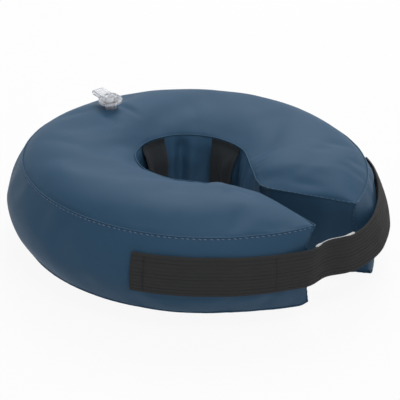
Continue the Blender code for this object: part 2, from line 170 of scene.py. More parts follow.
floor_material = bpy.data.materials.new("pale_floor")
floor_material.use_nodes = True
tree = floor_material.node_tree
tree.nodes.clear()
matt = grey_shader(tree, "ShaderNodeBsdfDiffuse", FLOOR_GREY)
glow = grey_shader(tree, "ShaderNodeEmission")
glow_mask = maths(tree, "MULTIPLY", direct_view(tree), FLOOR_GLOW)
show_by_view(tree, glow_mask, matt, glow, "ShaderNodeOutputMaterial")

floor_mesh = bpy.data.meshes.new("floor")
bm = bmesh.new()
bmesh.ops.create_circle(bm, cap_ends=True, segments=64, radius=FLOOR_RADIUS)
bm.to_mesh(floor_mesh)
bm.free()
floor = bpy.data.objects.new("floor", floor_mesh)
floor.location.z = FLOOR_LEVEL
floor_mesh.materials.append(floor_material)
scene.collection.objects.link(floor)
print("floor of", FLOOR_RADIUS, "m")

# %% [markdown]
# ## Shared finishes
# Cloth, webbing and tape are all woven, so one node group makes a fine over-and-under thread pattern from a
# map in metres, and another makes the slow uneven tone that handled cloth shows. A picture of cloth could do
# the same, but a pattern that is worked out stays sharp from close by. Each material places the groups with
# its own thread size and strength.

# %% Node groups
TONE_GRAIN, GRAIN_SHARE, CLOUD_SHARE = 900.0, 0.35, 0.65


def new_group(name, inputs, outputs):
    group = bpy.data.node_groups.new(name, "ShaderNodeTree")
    for label, kind, value in inputs:
        socket = group.interface.new_socket(label, in_out="INPUT", socket_type=kind)
        if value is not None:
            socket.default_value = value
    for label, kind in outputs:
        group.interface.new_socket(label, in_out="OUTPUT", socket_type=kind)
    return group, group.nodes.new("NodeGroupInput"), group.nodes.new("NodeGroupOutput")


def make_weave_group():
    """Plain weave: threads of the two directions pass over each other in turn; where a thread dips under, its
    colour is darkened as painted shade.
    """
    group, source, sink = new_group(
        "plain_weave",
        [("Map", "NodeSocketVector", None), ("Warp Pitch", "NodeSocketFloat", 0.0006),
         ("Weft Pitch", "NodeSocketFloat", 0.0006)],
        [("Height", "NodeSocketFloat"), ("Painted Shade", "NodeSocketFloat")])
    split = group.nodes.new("ShaderNodeSeparateXYZ")
    group.links.new(source.outputs["Map"], split.inputs[0])
    turns = []
    for axis, pitch in (("X", "Warp Pitch"), ("Y", "Weft Pitch")):
        count = maths(group, "DIVIDE", split.outputs[axis], source.outputs[pitch])
        turns.append(maths(group, "SINE", maths(group, "MULTIPLY", count, math.pi)))
    over = maths(group, "MULTIPLY", turns[0], turns[1])
    rounded = maths(group, "MULTIPLY", *(maths(group, "ABSOLUTE", turn) for turn in turns))
    height = maths(group, "ADD", maths(group, "MULTIPLY", over, 0.5), rounded)
    group.links.new(height, sink.inputs["Height"])
    # painted shade: the colour output is darkest where the height is low, in the dips between crossing threads
    group.links.new(maths(group, "MULTIPLY_ADD", over, 0.5, 0.5), sink.inputs["Painted Shade"])
    return group


def make_tone_group():
    """Slow uneven tone: large soft clouds with a little fine grain."""
    group, source, sink = new_group(
        "uneven_tone",
        [("Color", "NodeSocketColor", (0.5, 0.5, 0.5, 1.0)), ("Strength", "NodeSocketFloat", 0.1),
         ("Cloud Size", "NodeSocketFloat", 22.0)],
        [("Color", "NodeSocketColor"), ("Mask", "NodeSocketFloat")])
    place = group.nodes.new("ShaderNodeTexCoord")
    cloud = group.nodes.new("ShaderNodeTexNoise")
    cloud.inputs["Detail"].default_value = 3.0
    group.links.new(place.outputs["Object"], cloud.inputs["Vector"])
    group.links.new(source.outputs["Cloud Size"], cloud.inputs["Scale"])
    grain = group.nodes.new("ShaderNodeTexNoise")
    grain.inputs["Scale"].default_value = TONE_GRAIN
    group.links.new(place.outputs["Object"], grain.inputs["Vector"])
    clouds = maths(group, "MULTIPLY", cloud.outputs["Fac"], CLOUD_SHARE)
    mixed = maths(group, "MULTIPLY_ADD", grain.outputs["Fac"], GRAIN_SHARE, clouds)
    swing = maths(group, "MULTIPLY", maths(group, "SUBTRACT", mixed, 0.5), source.outputs["Strength"])
    factor = maths(group, "MULTIPLY_ADD", swing, 2.0, 1.0)
    scale = group.nodes.new("ShaderNodeVectorMath")
    scale.operation = "SCALE"
    group.links.new(source.outputs["Color"], scale.inputs[0])
    group.links.new(factor, scale.inputs["Scale"])
    group.links.new(scale.outputs[0], sink.inputs["Color"])
    group.links.new(mixed, sink.inputs["Mask"])
    return group


WEAVE = make_weave_group()
TONE = make_tone_group()
print("groups", WEAVE.name, TONE.name)

# %% [markdown]
# ## Cloth finishes
# The cover is a smooth tight cloth, the strap and the loops are coarse dark webbing, and tapes and threads
# have a look of their own. Each could have its own shader, but they differ only in colour, thread size and
# gloss, so one function makes them all from a row of values.

# %% Cloth materials
MAP_NAME = "cloth"
CLOTH_SPECULAR, SHEEN_ROUGHNESS = 0.16, 0.5


def place_group(tree, group, values):
    """Place a node group in a material and set its inputs."""
    node = tree.nodes.new("ShaderNodeGroup")
    node.node_tree = group
    for label, value in values.items():
        node.inputs[label].default_value = value
    return node


def swing_roughness(tree, uneven, rough, swing):
    """Let the roughness swing about its mean with the uneven tone."""
    swung = maths(tree, "MULTIPLY_ADD", uneven.outputs["Mask"], swing, rough - 0.5 * swing)
    tree.links.new(swung, tree.nodes["Principled BSDF"].inputs["Roughness"])


def cloth_material(name, colour, tone, weave, gloss, painted_shade, sheen=0.0):
    """Woven finish: uneven tone for the colour, thread pattern for the relief and a slight painted shade in
    its dips.
    """
    material = bpy.data.materials.new(name)
    material.use_nodes = True
    tree = material.node_tree
    shader = tree.nodes["Principled BSDF"]
    uneven = place_group(tree, TONE, {"Color": (*colour, 1.0), "Strength": tone[0], "Cloud Size": tone[1]})
    thread = place_group(tree, WEAVE, {"Warp Pitch": weave[0], "Weft Pitch": weave[1]})
    where = tree.nodes.new("ShaderNodeUVMap")
    where.uv_map = MAP_NAME
    tree.links.new(where.outputs[0], thread.inputs["Map"])
    darker = tree.nodes.new("ShaderNodeVectorMath")
    darker.operation = "SCALE"
    # painted shade: the weave's dips darken the colour by up to this share
    darkening = maths(tree, "MULTIPLY_ADD", thread.outputs["Painted Shade"], painted_shade, 1.0 - painted_shade)
    tree.links.new(uneven.outputs["Color"], darker.inputs[0])
    tree.links.new(darkening, darker.inputs["Scale"])
    tree.links.new(darker.outputs[0], shader.inputs["Base Color"])
    swing_roughness(tree, uneven, *gloss)
    relief = tree.nodes.new("ShaderNodeBump")
    relief.inputs["Strength"].default_value = 1.0
    relief.inputs["Distance"].default_value = weave[2]
    tree.links.new(thread.outputs["Height"], relief.inputs["Height"])
    tree.links.new(relief.outputs[0], shader.inputs["Normal"])
    shader.inputs["Specular IOR Level"].default_value = CLOTH_SPECULAR
    shader.inputs["Sheen Weight"].default_value = sheen
    shader.inputs["Sheen Roughness"].default_value = SHEEN_ROUGHNESS
    return material


FINE_WEAVE, THREAD_WEAVE = (0.00045, 0.00045, 0.00003), (0.0006, 0.0003, 0.00006)
STRAP_WEAVE, LOOP_WEAVE = (0.0011, 0.0009, 0.00016), (0.0010, 0.0008, 0.00018)
CLOTHS = [
    # name, colour, (tone strength, cloud size), (warp, weft, relief), (roughness, swing), painted weave shade,
    # sheen
    ("cover_cloth", (0.031, 0.084, 0.152), (0.10, 16.0), FINE_WEAVE, (0.58, 0.10), 0.10),
    # the seam lips' cloth is the cover's cloth made paler: a painted highlight on the turned edges
    ("lip_cloth", (0.046, 0.110, 0.188), (0.08, 40.0), FINE_WEAVE, (0.58, 0.08), 0.10),
    # the neck wall's cloth is the cover's cloth made lighter: painted light on the wall that lies in the
    # hole's shade
    ("neck_cloth", (0.046, 0.116, 0.205), (0.10, 16.0), FINE_WEAVE, (0.58, 0.10), 0.10),
    ("webbing_cloth", (0.0440, 0.0448, 0.0465), (0.16, 60.0), STRAP_WEAVE, (0.85, 0.10), 0.28, 0.02),
    ("loop_cloth", (0.0350, 0.0410, 0.0470), (0.18, 60.0), LOOP_WEAVE, (0.82, 0.10), 0.40, 0.06),
    ("hook_cloth", (0.86, 0.87, 0.88), (0.10, 90.0), (0.0008, 0.0008, 0.00030), (0.60, 0.10), 0.35),
    ("pile_cloth", (0.020, 0.024, 0.030), (0.30, 140.0), (0.0007, 0.0005, 0.00030), (0.95, 0.05), 0.45, 0.35),
    ("thread_blue", (0.200, 0.280, 0.410), (0.12, 200.0), THREAD_WEAVE, (0.55, 0.10), 0.25),
    ("thread_navy", (0.020, 0.050, 0.090), (0.12, 200.0), THREAD_WEAVE, (0.60, 0.10), 0.25),
    ("thread_dark", (0.026, 0.027, 0.029), (0.12, 200.0), THREAD_WEAVE, (0.65, 0.10), 0.25),
]
(cover_cloth, lip_cloth, neck_cloth, webbing_cloth, loop_cloth, hook_cloth, pile_cloth,
 thread_blue, thread_navy, thread_dark) = (cloth_material(*row) for row in CLOTHS)
print("cloth materials", len(CLOTHS))

# %% [markdown]
# ## The ring's plan
# The cover is a tube of flat cloth panels that runs round the neck hole from the right end of the slit to
# the left end. Every panel is a grid of the same two shares: t runs along the ring and u across it. The
# panels could be drawn one by one, but writing the ring as one function keeps neighbours on the same seam
# lines.

# %% Ring plan
SEAM_RADIUS, BORE_RADIUS, BORE_SHIFT = 0.135, 0.044, 0.004
MID_RADIUS = 0.5 * (SEAM_RADIUS + BORE_RADIUS)
GAP_RIM_HALF, GAP_BORE_HALF, GAP_LEAN, GAP_INNER = 0.0255, 0.0036, -0.008, 0.067
CORNER_FLARE, LEAST_COSINE = 0.004, 0.2
RIGHT, LEFT = 1, -1


def slit_frame(side):
    """Inner and outer corner of an arm end in plan, and the direction out of its face."""
    reach = SEAM_RADIUS + CORNER_FLARE
    inner = np.array([GAP_LEAN + side * GAP_BORE_HALF, -GAP_INNER])
    outer = np.array([side * GAP_RIM_HALF, -math.sqrt(reach ** 2 - GAP_RIM_HALF ** 2)])
    along = (outer - inner) / np.linalg.norm(outer - inner)
    return inner, outer, np.array([along[1] * side, -along[0] * side, 0.0])


def slit_end(side, u, inset):
    """Angle and distance from the ring axis of a point of the slit's edge, moved into the arm by inset."""
    inner, outer, out = slit_frame(side)
    shift = np.asarray(inset, float)[..., None] * -out[:2]
    inner, outer = inner + shift, outer + shift
    spot = inner + (outer - inner) * np.asarray(u, float)[..., None]
    turn = np.arctan2(spot[..., 1], spot[..., 0]) + (math.tau if side == LEFT else 0.0)
    return turn, np.hypot(spot[..., 0], spot[..., 1])


def bore_edge(angle):
    """Distance of the neck hole's seam from the ring axis: a circle drawn out to the slit."""
    lift = BORE_SHIFT * np.cos(angle)
    edge = BORE_SHIFT * np.sin(angle) + np.sqrt(BORE_RADIUS ** 2 - lift ** 2)
    centre = np.array([0.0, BORE_SHIFT])
    for side in (RIGHT, LEFT):
        corner = slit_frame(side)[0] - centre
        wrap = math.tau if side == LEFT else 0.0
        touch = math.atan2(corner[1], corner[0]) + wrap + side * math.acos(BORE_RADIUS / np.hypot(*corner))
        normal = np.array([math.cos(touch), math.sin(touch)])
        contact = centre + normal * BORE_RADIUS
        turn = math.atan2(contact[1], contact[0]) + wrap
        cosine = np.maximum(np.cos(angle) * normal[0] + np.sin(angle) * normal[1], LEAST_COSINE)
        edge = np.where((turn - angle) * side > 0.0, (BORE_RADIUS + centre @ normal) / cosine, edge)
    return edge


FIRST_ANGLE, LAST_ANGLE = (float(slit_end(side, 0.5, 0.0)[0]) for side in (RIGHT, LEFT))
RING_TURN = LAST_ANGLE - FIRST_ANGLE


def ring_angle(t):
    """Angle round the ring axis at a share t, in the middle of the tube."""
    return FIRST_ANGLE + RING_TURN * t


def run_to_ends(t):
    """Length of ring between a share t and each end, along the middle of the tube."""
    return t * RING_TURN * MID_RADIUS, (1.0 - t) * RING_TURN * MID_RADIUS


def along_ring(count, crowding=0.45):
    """Shares along the ring, closer together towards the slit."""
    s = np.linspace(0.0, 1.0, count)
    return s - crowding * np.sin(math.tau * s) / math.tau


print("the ring turns", round(math.degrees(RING_TURN), 1), "degrees from slit to slit")

# %% [markdown]
# ## The arm ends
# A blown-up ring doesn't end in two clean cuts: the right arm's end leans and its foot splays out, the left
# arm's end is nipped in and its lower corner hangs down. These could be pushed in by hand with a sculpting
# brush. Here each is a fading offset from the arm's end, so that all panels that meet there move together.

# %% Arm ends
BOTTOM_SEAM, WALL_HEIGHT = 0.0175, 0.060
TOP_SEAM = BOTTOM_SEAM + WALL_HEIGHT
CORNER_RUN, CORNER_INNER = 0.045, 0.15
RIGHT_TILT, RIGHT_SPLAY, RIGHT_DROP, SPLAY_RUN, RIGHT_TUCK = 0.0140, 0.0142, 0.0040, 0.12, 0.0060
LEFT_NIP = ([0.0, 0.08, 0.25, 0.45, 0.7, 1.0], [0.0, 0.0035, 0.0078, 0.0080, 0.0050, 0.0017])
NIP_INNER = 0.35
LEFT_DROP, LEFT_DROP_RUN, LEFT_SAG, LEFT_SAG_RUN = 0.0036, 0.045, 0.0014, 0.16
INNER_ROUND, INNER_SHARE, CORNER_ROUND, CORNER_TIP = 0.0040, 0.16, 0.0026, 0.006


def fade(run, length):
    """1 where a run starts, falling evenly to 0 after a length."""
    return 1.0 - np.minimum(run / length, 1.0)


def grow(inner, u):
    """A share that is inner at the neck hole and 1 at the rim."""
    return inner + (1.0 - inner) * u


def ring_point(t, u, height, push=0.0):
    """Point of the ring at shares t and u and a height; push moves it away from the ring axis."""
    t, u, height = np.broadcast_arrays(*(np.asarray(value, float) for value in (t, u, height)))
    depth = np.clip((TOP_SEAM - height) / WALL_HEIGHT, 0.0, 1.0)
    to_right, to_left = run_to_ends(t)
    rounded = INNER_ROUND * fade(u, INNER_SHARE) ** 2
    first, reach_first = slit_end(RIGHT, u, RIGHT_TILT * depth + rounded)
    last, reach_last = slit_end(LEFT, u, grow(NIP_INNER, u) * np.interp(depth, *LEFT_NIP) + rounded)
    angle = first + (last - first) * t
    inner = bore_edge(angle)
    base = inner + (SEAM_RADIUS - inner) * u
    radius = base
    reach_first = reach_first - RIGHT_TUCK * u ** 4 * np.sin(math.pi * depth ** 0.8)
    for run, reach in ((to_right, reach_first), (to_left, reach_last)):
        radius = radius + (reach - base) * fade(run, CORNER_RUN * grow(CORNER_INNER, u)) ** 2
    splay = fade(to_right, SPLAY_RUN) ** 1.5 * depth ** 1.2
    radius = radius + push + RIGHT_SPLAY * splay * u
    near, far = fade(to_left, LEFT_DROP_RUN), fade(to_left, LEFT_SAG_RUN)
    droop = LEFT_DROP * near ** 1.5 + LEFT_SAG * np.sqrt(near + far - near * far)
    tip = fade(np.minimum(to_right, to_left), CORNER_TIP) ** 2
    height = height + CORNER_ROUND * tip * depth ** 8 * u ** 8
    height = height - u * (RIGHT_DROP * splay + depth ** 1.5 * droop)
    return np.stack((radius * np.cos(angle), radius * np.sin(angle), height), axis=-1)


def run_along(path):
    """Length from the start of a path to each of its points."""
    return np.concatenate(([0.0], np.cumsum(np.linalg.norm(np.diff(path, axis=0), axis=1))))


rim_line = ring_point(along_ring(400), 1.0, TOP_SEAM)
print("ring length at the outer seam", round(float(run_along(rim_line)[-1]), 4), "m")

# %% [markdown]
# ## Panel shapes
# The air inside swells each panel between its seams. The swelling is a smooth dome across the panel that
# dies out at the sewn ends, and the floor flattens the bottom one. Writing each dome as one function lets
# the cloth, the air bladder inside it and the seams all follow the same shapes.

# %% Panel shapes
WALL_BULGE, BORE_BULGE, WALL_POWER, END_BULGE = 0.0110, 0.0025, 2.2, 0.0022
END_RUNS, TOP_END_RUNS, LEAST_SWELL = (0.046, 0.046), (0.046, 0.080), 1e-4
TOP_CROWN, TOP_EASE, DOME_POWER, END_SHOULDER, SHOULDER_RUN = 0.0160, 0.0022, 2.3, 2.2, 0.060
FACET_RUN, FACET_FADE, FACET_BEND = 0.0190, ([0.38, 0.80], [1.0, 0.0]), 8
BOTTOM_CLEAR, BOTTOM_LEAN, BOTTOM_POWER, BOTTOM_ENDS = 0.0002, 1.08, 1.7, 0.6
VALVE_BASE, VALVE_FLAT = (0.0, 0.0925, 0.0937), 0.030
VALVE_SPOT = np.array(VALVE_BASE[:2])


def bump(share, power):
    """Dome over a share from 0 to 1; a higher power makes it flatter on top."""
    return 1.0 - np.abs(2.0 * np.asarray(share, float) - 1.0) ** power


def swelling(t, lengths=END_RUNS):
    """Inflated swelling: full along the ring and gone at its sewn ends, with a length for each end."""
    total = 1.0
    for run, length in zip(run_to_ends(t), lengths):
        total = total * np.maximum(1.0 - fade(run, length) * fade(run, length), 0.0) ** 0.5
    return total


def top_shape(t, u):
    """Dome that keeps its height at the valve and has a flat facet at the right arm's inner end."""
    point = ring_point(t, u, TOP_SEAM)
    to_right = run_to_ends(t)[0]
    near_valve = np.exp(-np.sum((point[..., :2] - VALVE_SPOT) ** 2, axis=-1) / VALVE_FLAT ** 2)
    crown = TOP_CROWN - TOP_EASE * (1.0 - near_valve)
    swell = np.maximum(swelling(t, TOP_END_RUNS), LEAST_SWELL)
    facet = np.maximum(to_right / FACET_RUN, LEAST_SWELL)
    facet = (swell ** -FACET_BEND + facet ** -FACET_BEND) ** (-1.0 / FACET_BEND)
    swell = swell + (facet - swell) * np.interp(u, *FACET_FADE)
    point[..., 2] += crown * swell * bump(u, DOME_POWER + END_SHOULDER * fade(to_right, SHOULDER_RUN))
    return point


def bottom_shape(t, u):
    point = ring_point(t, u, BOTTOM_SEAM)
    dome = np.sin(math.pi * np.asarray(u, float) ** BOTTOM_LEAN) ** BOTTOM_POWER
    point[..., 2] -= (BOTTOM_SEAM - BOTTOM_CLEAR) * swelling(t) ** BOTTOM_ENDS * dome
    return point


def outer_shape(t, v):
    return ring_point(t, 1.0, BOTTOM_SEAM + WALL_HEIGHT * v, WALL_BULGE * swelling(t) * bump(v, WALL_POWER))


def bore_shape(t, v):
    return ring_point(t, 0.0, BOTTOM_SEAM + WALL_HEIGHT * v, -BORE_BULGE * swelling(t) * bump(v, WALL_POWER))


def end_shape(side, u, v):
    point = ring_point(0.0 if side == RIGHT else 1.0, u, BOTTOM_SEAM + WALL_HEIGHT * np.asarray(v, float))
    point[..., :2] += (END_BULGE * bump(u, 2.5) * bump(v, 2.0))[..., None] * slit_frame(side)[2][:2]
    return point


SHAPES = {"top_panel": top_shape, "bottom_panel": bottom_shape, "outer_wall": outer_shape,
          "bore_wall": bore_shape}
print("panels", sorted(SHAPES))

# %% [markdown]
# ## Cloth sheets
# A panel is a closed sheet: the grid seen from outside, the same grid moved in by the cloth's thickness, and
# a narrow wall round the rim. The ring bends at the back left when it is spread, so each long panel is cut
# at the valve: the right part rides the ring body, and the left part is baked in place on no body. Both
# parts keep the normals of the uncut panel, so the cut can't be seen.

# %% Grids
PLAN = np.array([1.0, 1.0, 0.0])


def middle(grid):
    return grid[grid.shape[0] // 2, grid.shape[1] // 2]


def grid_normals(points):
    rows, cols = np.gradient(points, axis=0), np.gradient(points, axis=1)
    normal = np.cross(rows, cols)
    return normal / np.maximum(np.linalg.norm(normal, axis=-1, keepdims=True), 1e-12)


def normals_facing(points, out):
    """Normals of a grid, turned so that the one in its middle looks the way of out."""
    normal = grid_normals(points)
    return normal * np.sign(middle(normal) @ out)


def grid_lengths(points):
    """A map in metres: distance along the rows and the columns, measured on the grid's middle lines."""
    rows, cols = points.shape[:2]
    along, across = run_along(points[:, cols // 2]), run_along(points[rows // 2])
    return np.stack(np.meshgrid(along, across, indexing="ij"), axis=-1)


def tube_faces(rows, count):
    """Faces of a closed tube of rows loops with count points each, with its two caps last."""
    index = np.arange(rows * count).reshape(rows, count)
    after = np.roll(index, -1, axis=1)
    quads = np.stack((index[:-1], after[:-1], after[1:], index[1:]), axis=-1).reshape(-1, 4)
    return quads.tolist() + [index[0, ::-1].tolist(), index[-1].tolist()]


print("a tube of 3 loops with 4 points has", len(tube_faces(3, 4)), "faces")

# %% Pieces
def face_outwards(mesh):
    """Turn all faces of a closed mesh outwards."""
    bm = bmesh.new()
    bm.from_mesh(mesh)
    bmesh.ops.recalc_face_normals(bm, faces=bm.faces)
    bm.to_mesh(mesh)
    bm.free()


def add_piece(name, mesh, material):
    mesh.materials.append(material)
    piece = bpy.data.objects.new(name, mesh)
    scene.collection.objects.link(piece)
    return piece


def mesh_piece(name, material, verts, faces, uvs=None, normals=None):
    """Smooth piece from points and faces; without normals of its own its faces are turned outwards."""
    mesh = bpy.data.meshes.new(name)
    mesh.from_pydata(np.asarray(verts, float).tolist(), [], [list(map(int, face)) for face in faces])
    mesh.polygons.foreach_set("use_smooth", [True] * len(mesh.polygons))
    if uvs is not None:
        layer = mesh.uv_layers.new(name=MAP_NAME)
        corner = np.empty(len(mesh.loops), np.int32)
        mesh.loops.foreach_get("vertex_index", corner)
        layer.data.foreach_set("uv", np.asarray(uvs, np.float32)[corner].ravel())
    mesh.update()
    if normals is None:
        face_outwards(mesh)
    else:
        mesh.normals_split_custom_set_from_vertices(np.asarray(normals, float).tolist())
    return add_piece(name, mesh, material)


def cloth_sheet(name, outer, normal, uv, thick, material, hole=None):
    """Closed sheet of cloth from its outer grid, outward normals and map; hole marks quads left out."""
    rows, cols = outer.shape[:2]
    index = np.arange(rows * cols).reshape(rows, cols)
    quads = np.stack((index[:-1, :-1], index[1:, :-1], index[1:, 1:], index[:-1, 1:]), axis=-1).reshape(-1, 4)
    i, j = rows // 2, cols // 2
    facing = np.cross(outer[i + 1, j] - outer[i, j], outer[i, j + 1] - outer[i, j]) @ normal[i, j]
    if facing < 0.0:
        quads = quads[:, ::-1]
    if hole is not None:
        quads = quads[~hole.ravel()]
    shift = rows * cols
    edges = np.stack((quads, np.roll(quads, -1, axis=1)), axis=-1).reshape(-1, 2)
    rim = edges[~np.isin(edges @ (shift, 1), edges @ (1, shift))]
    wall = np.stack((rim[:, 1], rim[:, 0], rim[:, 0] + shift, rim[:, 1] + shift), axis=-1)
    faces = np.concatenate((quads, quads[:, ::-1] + shift, wall))
    verts = np.concatenate((outer.reshape(-1, 3), (outer - normal * thick).reshape(-1, 3)))
    normals = np.concatenate((normal.reshape(-1, 3), -normal.reshape(-1, 3)))
    uvs = np.concatenate((uv.reshape(-1, 2), uv.reshape(-1, 2)))
    used, faces = np.unique(faces, return_inverse=True)
    return mesh_piece(name, material, verts[used], faces.reshape(-1, 4), uvs[used], normals[used])


print("pieces are linked to", scene.collection.name)

# %% The cut at the valve
COVER = 0.0011


def bend_left(piece):
    """The left part of the ring, baked in place; it rides no body."""
    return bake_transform(piece)


def halves(t):
    """Rows of a ring grid before and after the valve, which is a quarter turn from the right."""
    row = int(np.argmin(np.abs(ring_angle(t) - 0.5 * math.pi)))
    return {"body": slice(0, row + 1), "left_arm": slice(row, len(t))}


def place_split(make, nodes):
    """Make the right and left part of a ring-long piece; hang the right part on the ring body and bake the
    left.
    """
    for part in ("body", "left_arm"):
        piece = make(part)
        if part == "body":
            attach(piece, "ring_body")
        else:
            bend_left(piece)
        if nodes:
            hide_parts(nodes + "_" + part)


print("cloth thickness", COVER, "m")

# %% [markdown]
# ## Inflating the cover
# The real cover is sewn from flat cloth that is a little longer than the seams that hold it, so the air
# pushes it into soft folds that fan out from the seams. A cloth simulation gives these folds: the panels are
# joined into one closed bag, the seam lines are held, the cloth between them is let out by about one per
# cent and air pressure blows it up. Only the difference from the smooth shape is kept, as a small map for
# each panel.

# %% The bag
BAG_LONG, BAG_WIDE, BAG_TALL = 181, 25, 17
bag_t = along_ring(BAG_LONG)


def tube_loop(t, wide, tall):
    """The four panels as one closed loop of columns, and the column where each of them starts."""
    t, u, v = t[:, None], np.linspace(0.0, 1.0, wide)[None, :], np.linspace(0.0, 1.0, tall)[None, :]
    loop = np.concatenate((top_shape(t, u)[:, :-1], outer_shape(t, v)[:, :0:-1],
                           bottom_shape(t, u)[:, :0:-1], bore_shape(t, v)[:, :-1]), axis=1)
    return loop, np.cumsum([0, wide - 1, tall - 1, wide - 1, tall - 1])


def panel_columns(starts, count):
    """Columns of the closed loop that belong to each panel, in the panel's own order."""
    ring = np.arange(count + 1) % count
    top, outer, bottom, bore = (ring[starts[k]:starts[k + 1] + 1] for k in range(4))
    return {"top_panel": top, "outer_wall": outer[::-1], "bottom_panel": bottom[::-1], "bore_wall": bore}


def bag_object(loop):
    """The closed bag as an object of its own, to be thrown away after the simulation."""
    rows, count = loop.shape[:2]
    index = np.arange(rows * count).reshape(rows, count)
    after = np.roll(index, -1, axis=1)
    quads = np.stack((index[:-1], index[1:], after[1:], after[:-1]), axis=-1).reshape(-1, 4)
    mesh = bpy.data.meshes.new("bag")
    mesh.from_pydata(loop.reshape(-1, 3).tolist(), [],
                     quads.tolist() + [index[0].tolist(), index[-1, ::-1].tolist()])
    bag = bpy.data.objects.new("bag", mesh)
    scene.collection.objects.link(bag)
    face_outwards(mesh)
    return bag


print("the bag has", BAG_LONG, "loops of", 2 * (BAG_WIDE + BAG_TALL - 2), "points")

# %% Inflate
SEAM_HOLD, BOTTOM_HOLD, VALVE_HOLD, VALVE_CALM = 0.9, 0.5, 0.95, 0.014
AIR = {"quality": 6, "mass": 0.25, "tension_stiffness": 40.0, "compression_stiffness": 8.0,
       "shear_stiffness": 8.0, "bending_stiffness": 2.5, "air_damping": 4.0, "vertex_group_mass": "hold",
       "pin_stiffness": 40.0, "vertex_group_shrink": "seams", "shrink_min": -0.012, "shrink_max": -0.005,
       "use_pressure": True, "uniform_pressure_force": 1.2}
SIM_STEPS, CACHE_STEPS, MOST_MOVE, CALM_RUN = 30, 40, 0.004, 0.022
MM = 0.001


def weigh(bag, name, weights):
    """Vertex group with a weight for every point of the bag."""
    group = bag.vertex_groups.new(name=name)
    for value in np.unique(weights):
        group.add(np.flatnonzero(weights.ravel() == value).tolist(), float(value), "REPLACE")


def hold_bag(bag, loop, starts, columns):
    """Hold the bag firmly at its ends, seams and valve and loosely on the floor, and mark its seams."""
    firm, seams = np.zeros(loop.shape[:2]), np.zeros(loop.shape[:2])
    firm[:, starts[:4]] = SEAM_HOLD
    firm[0], firm[-1] = 1.0, 1.0
    firm[:, columns["bottom_panel"]] = np.maximum(firm[:, columns["bottom_panel"]], BOTTOM_HOLD)
    near_valve = np.linalg.norm(loop - np.array(VALVE_BASE), axis=-1) < VALVE_CALM
    firm[near_valve] = np.maximum(firm[near_valve], VALVE_HOLD)
    seams[:, starts[:4]] = 1.0
    weigh(bag, "hold", firm)
    weigh(bag, "seams", seams)


def blow_up(bag):
    """Run the cloth simulation and give the points that it ends with."""
    cloth = bag.modifiers.new("inflate", "CLOTH")
    for setting, value in AIR.items():
        setattr(cloth.settings, setting, value)
    cloth.settings.effector_weights.gravity = 0.0
    cloth.collision_settings.use_collision = False
    cloth.point_cache.frame_start, cloth.point_cache.frame_end = 1, CACHE_STEPS
    for step in range(1, SIM_STEPS + 1):
        scene.frame_set(step)
    blown = bag.evaluated_get(bpy.context.evaluated_depsgraph_get()).to_mesh()
    points = np.empty(len(blown.vertices) * 3)
    blown.vertices.foreach_get("co", points)
    bpy.data.objects.remove(bag, do_unlink=True)
    scene.frame_set(1)
    return points


def inflate():
    """How far the air moves each panel's grid, limited, evened out and calmed towards the slit."""
    loop, starts = tube_loop(bag_t, BAG_WIDE, BAG_TALL)
    rows, count = loop.shape[:2]
    columns = panel_columns(starts, count)
    bag = bag_object(loop)
    hold_bag(bag, loop, starts, columns)
    moved = blow_up(bag).reshape(rows, count, 3) - loop
    far = np.linalg.norm(moved, axis=-1, keepdims=True)
    mean, most = (round(float(value) / MM, 2) for value in (far.mean(), far.max()))
    print("bag moved: mean", mean, "mm, most", most, "mm")
    moved *= np.minimum(1.0, MOST_MOVE / np.maximum(far, 1e-9))
    for _ in range(2):
        moved[1:-1] = 0.25 * moved[:-2] + 0.5 * moved[1:-1] + 0.25 * moved[2:]
        moved = 0.2 * np.roll(moved, 1, axis=1) + 0.6 * moved + 0.2 * np.roll(moved, -1, axis=1)
    calm = np.minimum(*run_to_ends(bag_t)) / CALM_RUN
    moved *= np.minimum(calm, 1.0)[:, None, None] ** 1.5
    return {name: moved[:, cols] for name, cols in columns.items()}


BLOWN = inflate()
print("kept a map for", sorted(BLOWN))

# %% Read the maps
def cubic_line(values, where):
    """Smooth interpolation of rows of values at fractional row numbers."""
    last = len(values) - 1
    k = np.clip(np.floor(where).astype(int), 0, last - 1)
    f = (where - k).reshape((-1,) + (1,) * (values.ndim - 1))
    p0, p1 = values[np.maximum(k - 1, 0)], values[k]
    p2, p3 = values[k + 1], values[np.minimum(k + 2, last)]
    return p1 + 0.5 * f * (p2 - p0 + f * (2 * p0 - 5 * p1 + 4 * p2 - p3 + f * (3 * (p1 - p2) + p3 - p0)))


def blown_move(panel, t, w):
    """How far the air moves a panel at any shares t (a list) and w (a list)."""
    grid = BLOWN[panel]
    rows = cubic_line(grid, np.interp(t, bag_t, np.arange(BAG_LONG)))
    across = np.asarray(w) * (grid.shape[1] - 1)
    return np.swapaxes(cubic_line(np.swapaxes(rows, 0, 1), across), 0, 1)


print("a map has", BLOWN["top_panel"].shape[:2], "points on the top panel")

# %% [markdown]
# ## Folds and creases
# Some folds are larger than the simulation finds: the pinched line that runs in from the slit's inner
# corner, the dents round the valve and the deep upright folds where the neck wall is gathered between its
# loops. They are drawn as lines or angles on the panel with a depth and a width, and pressed in along the
# cloth's normal.

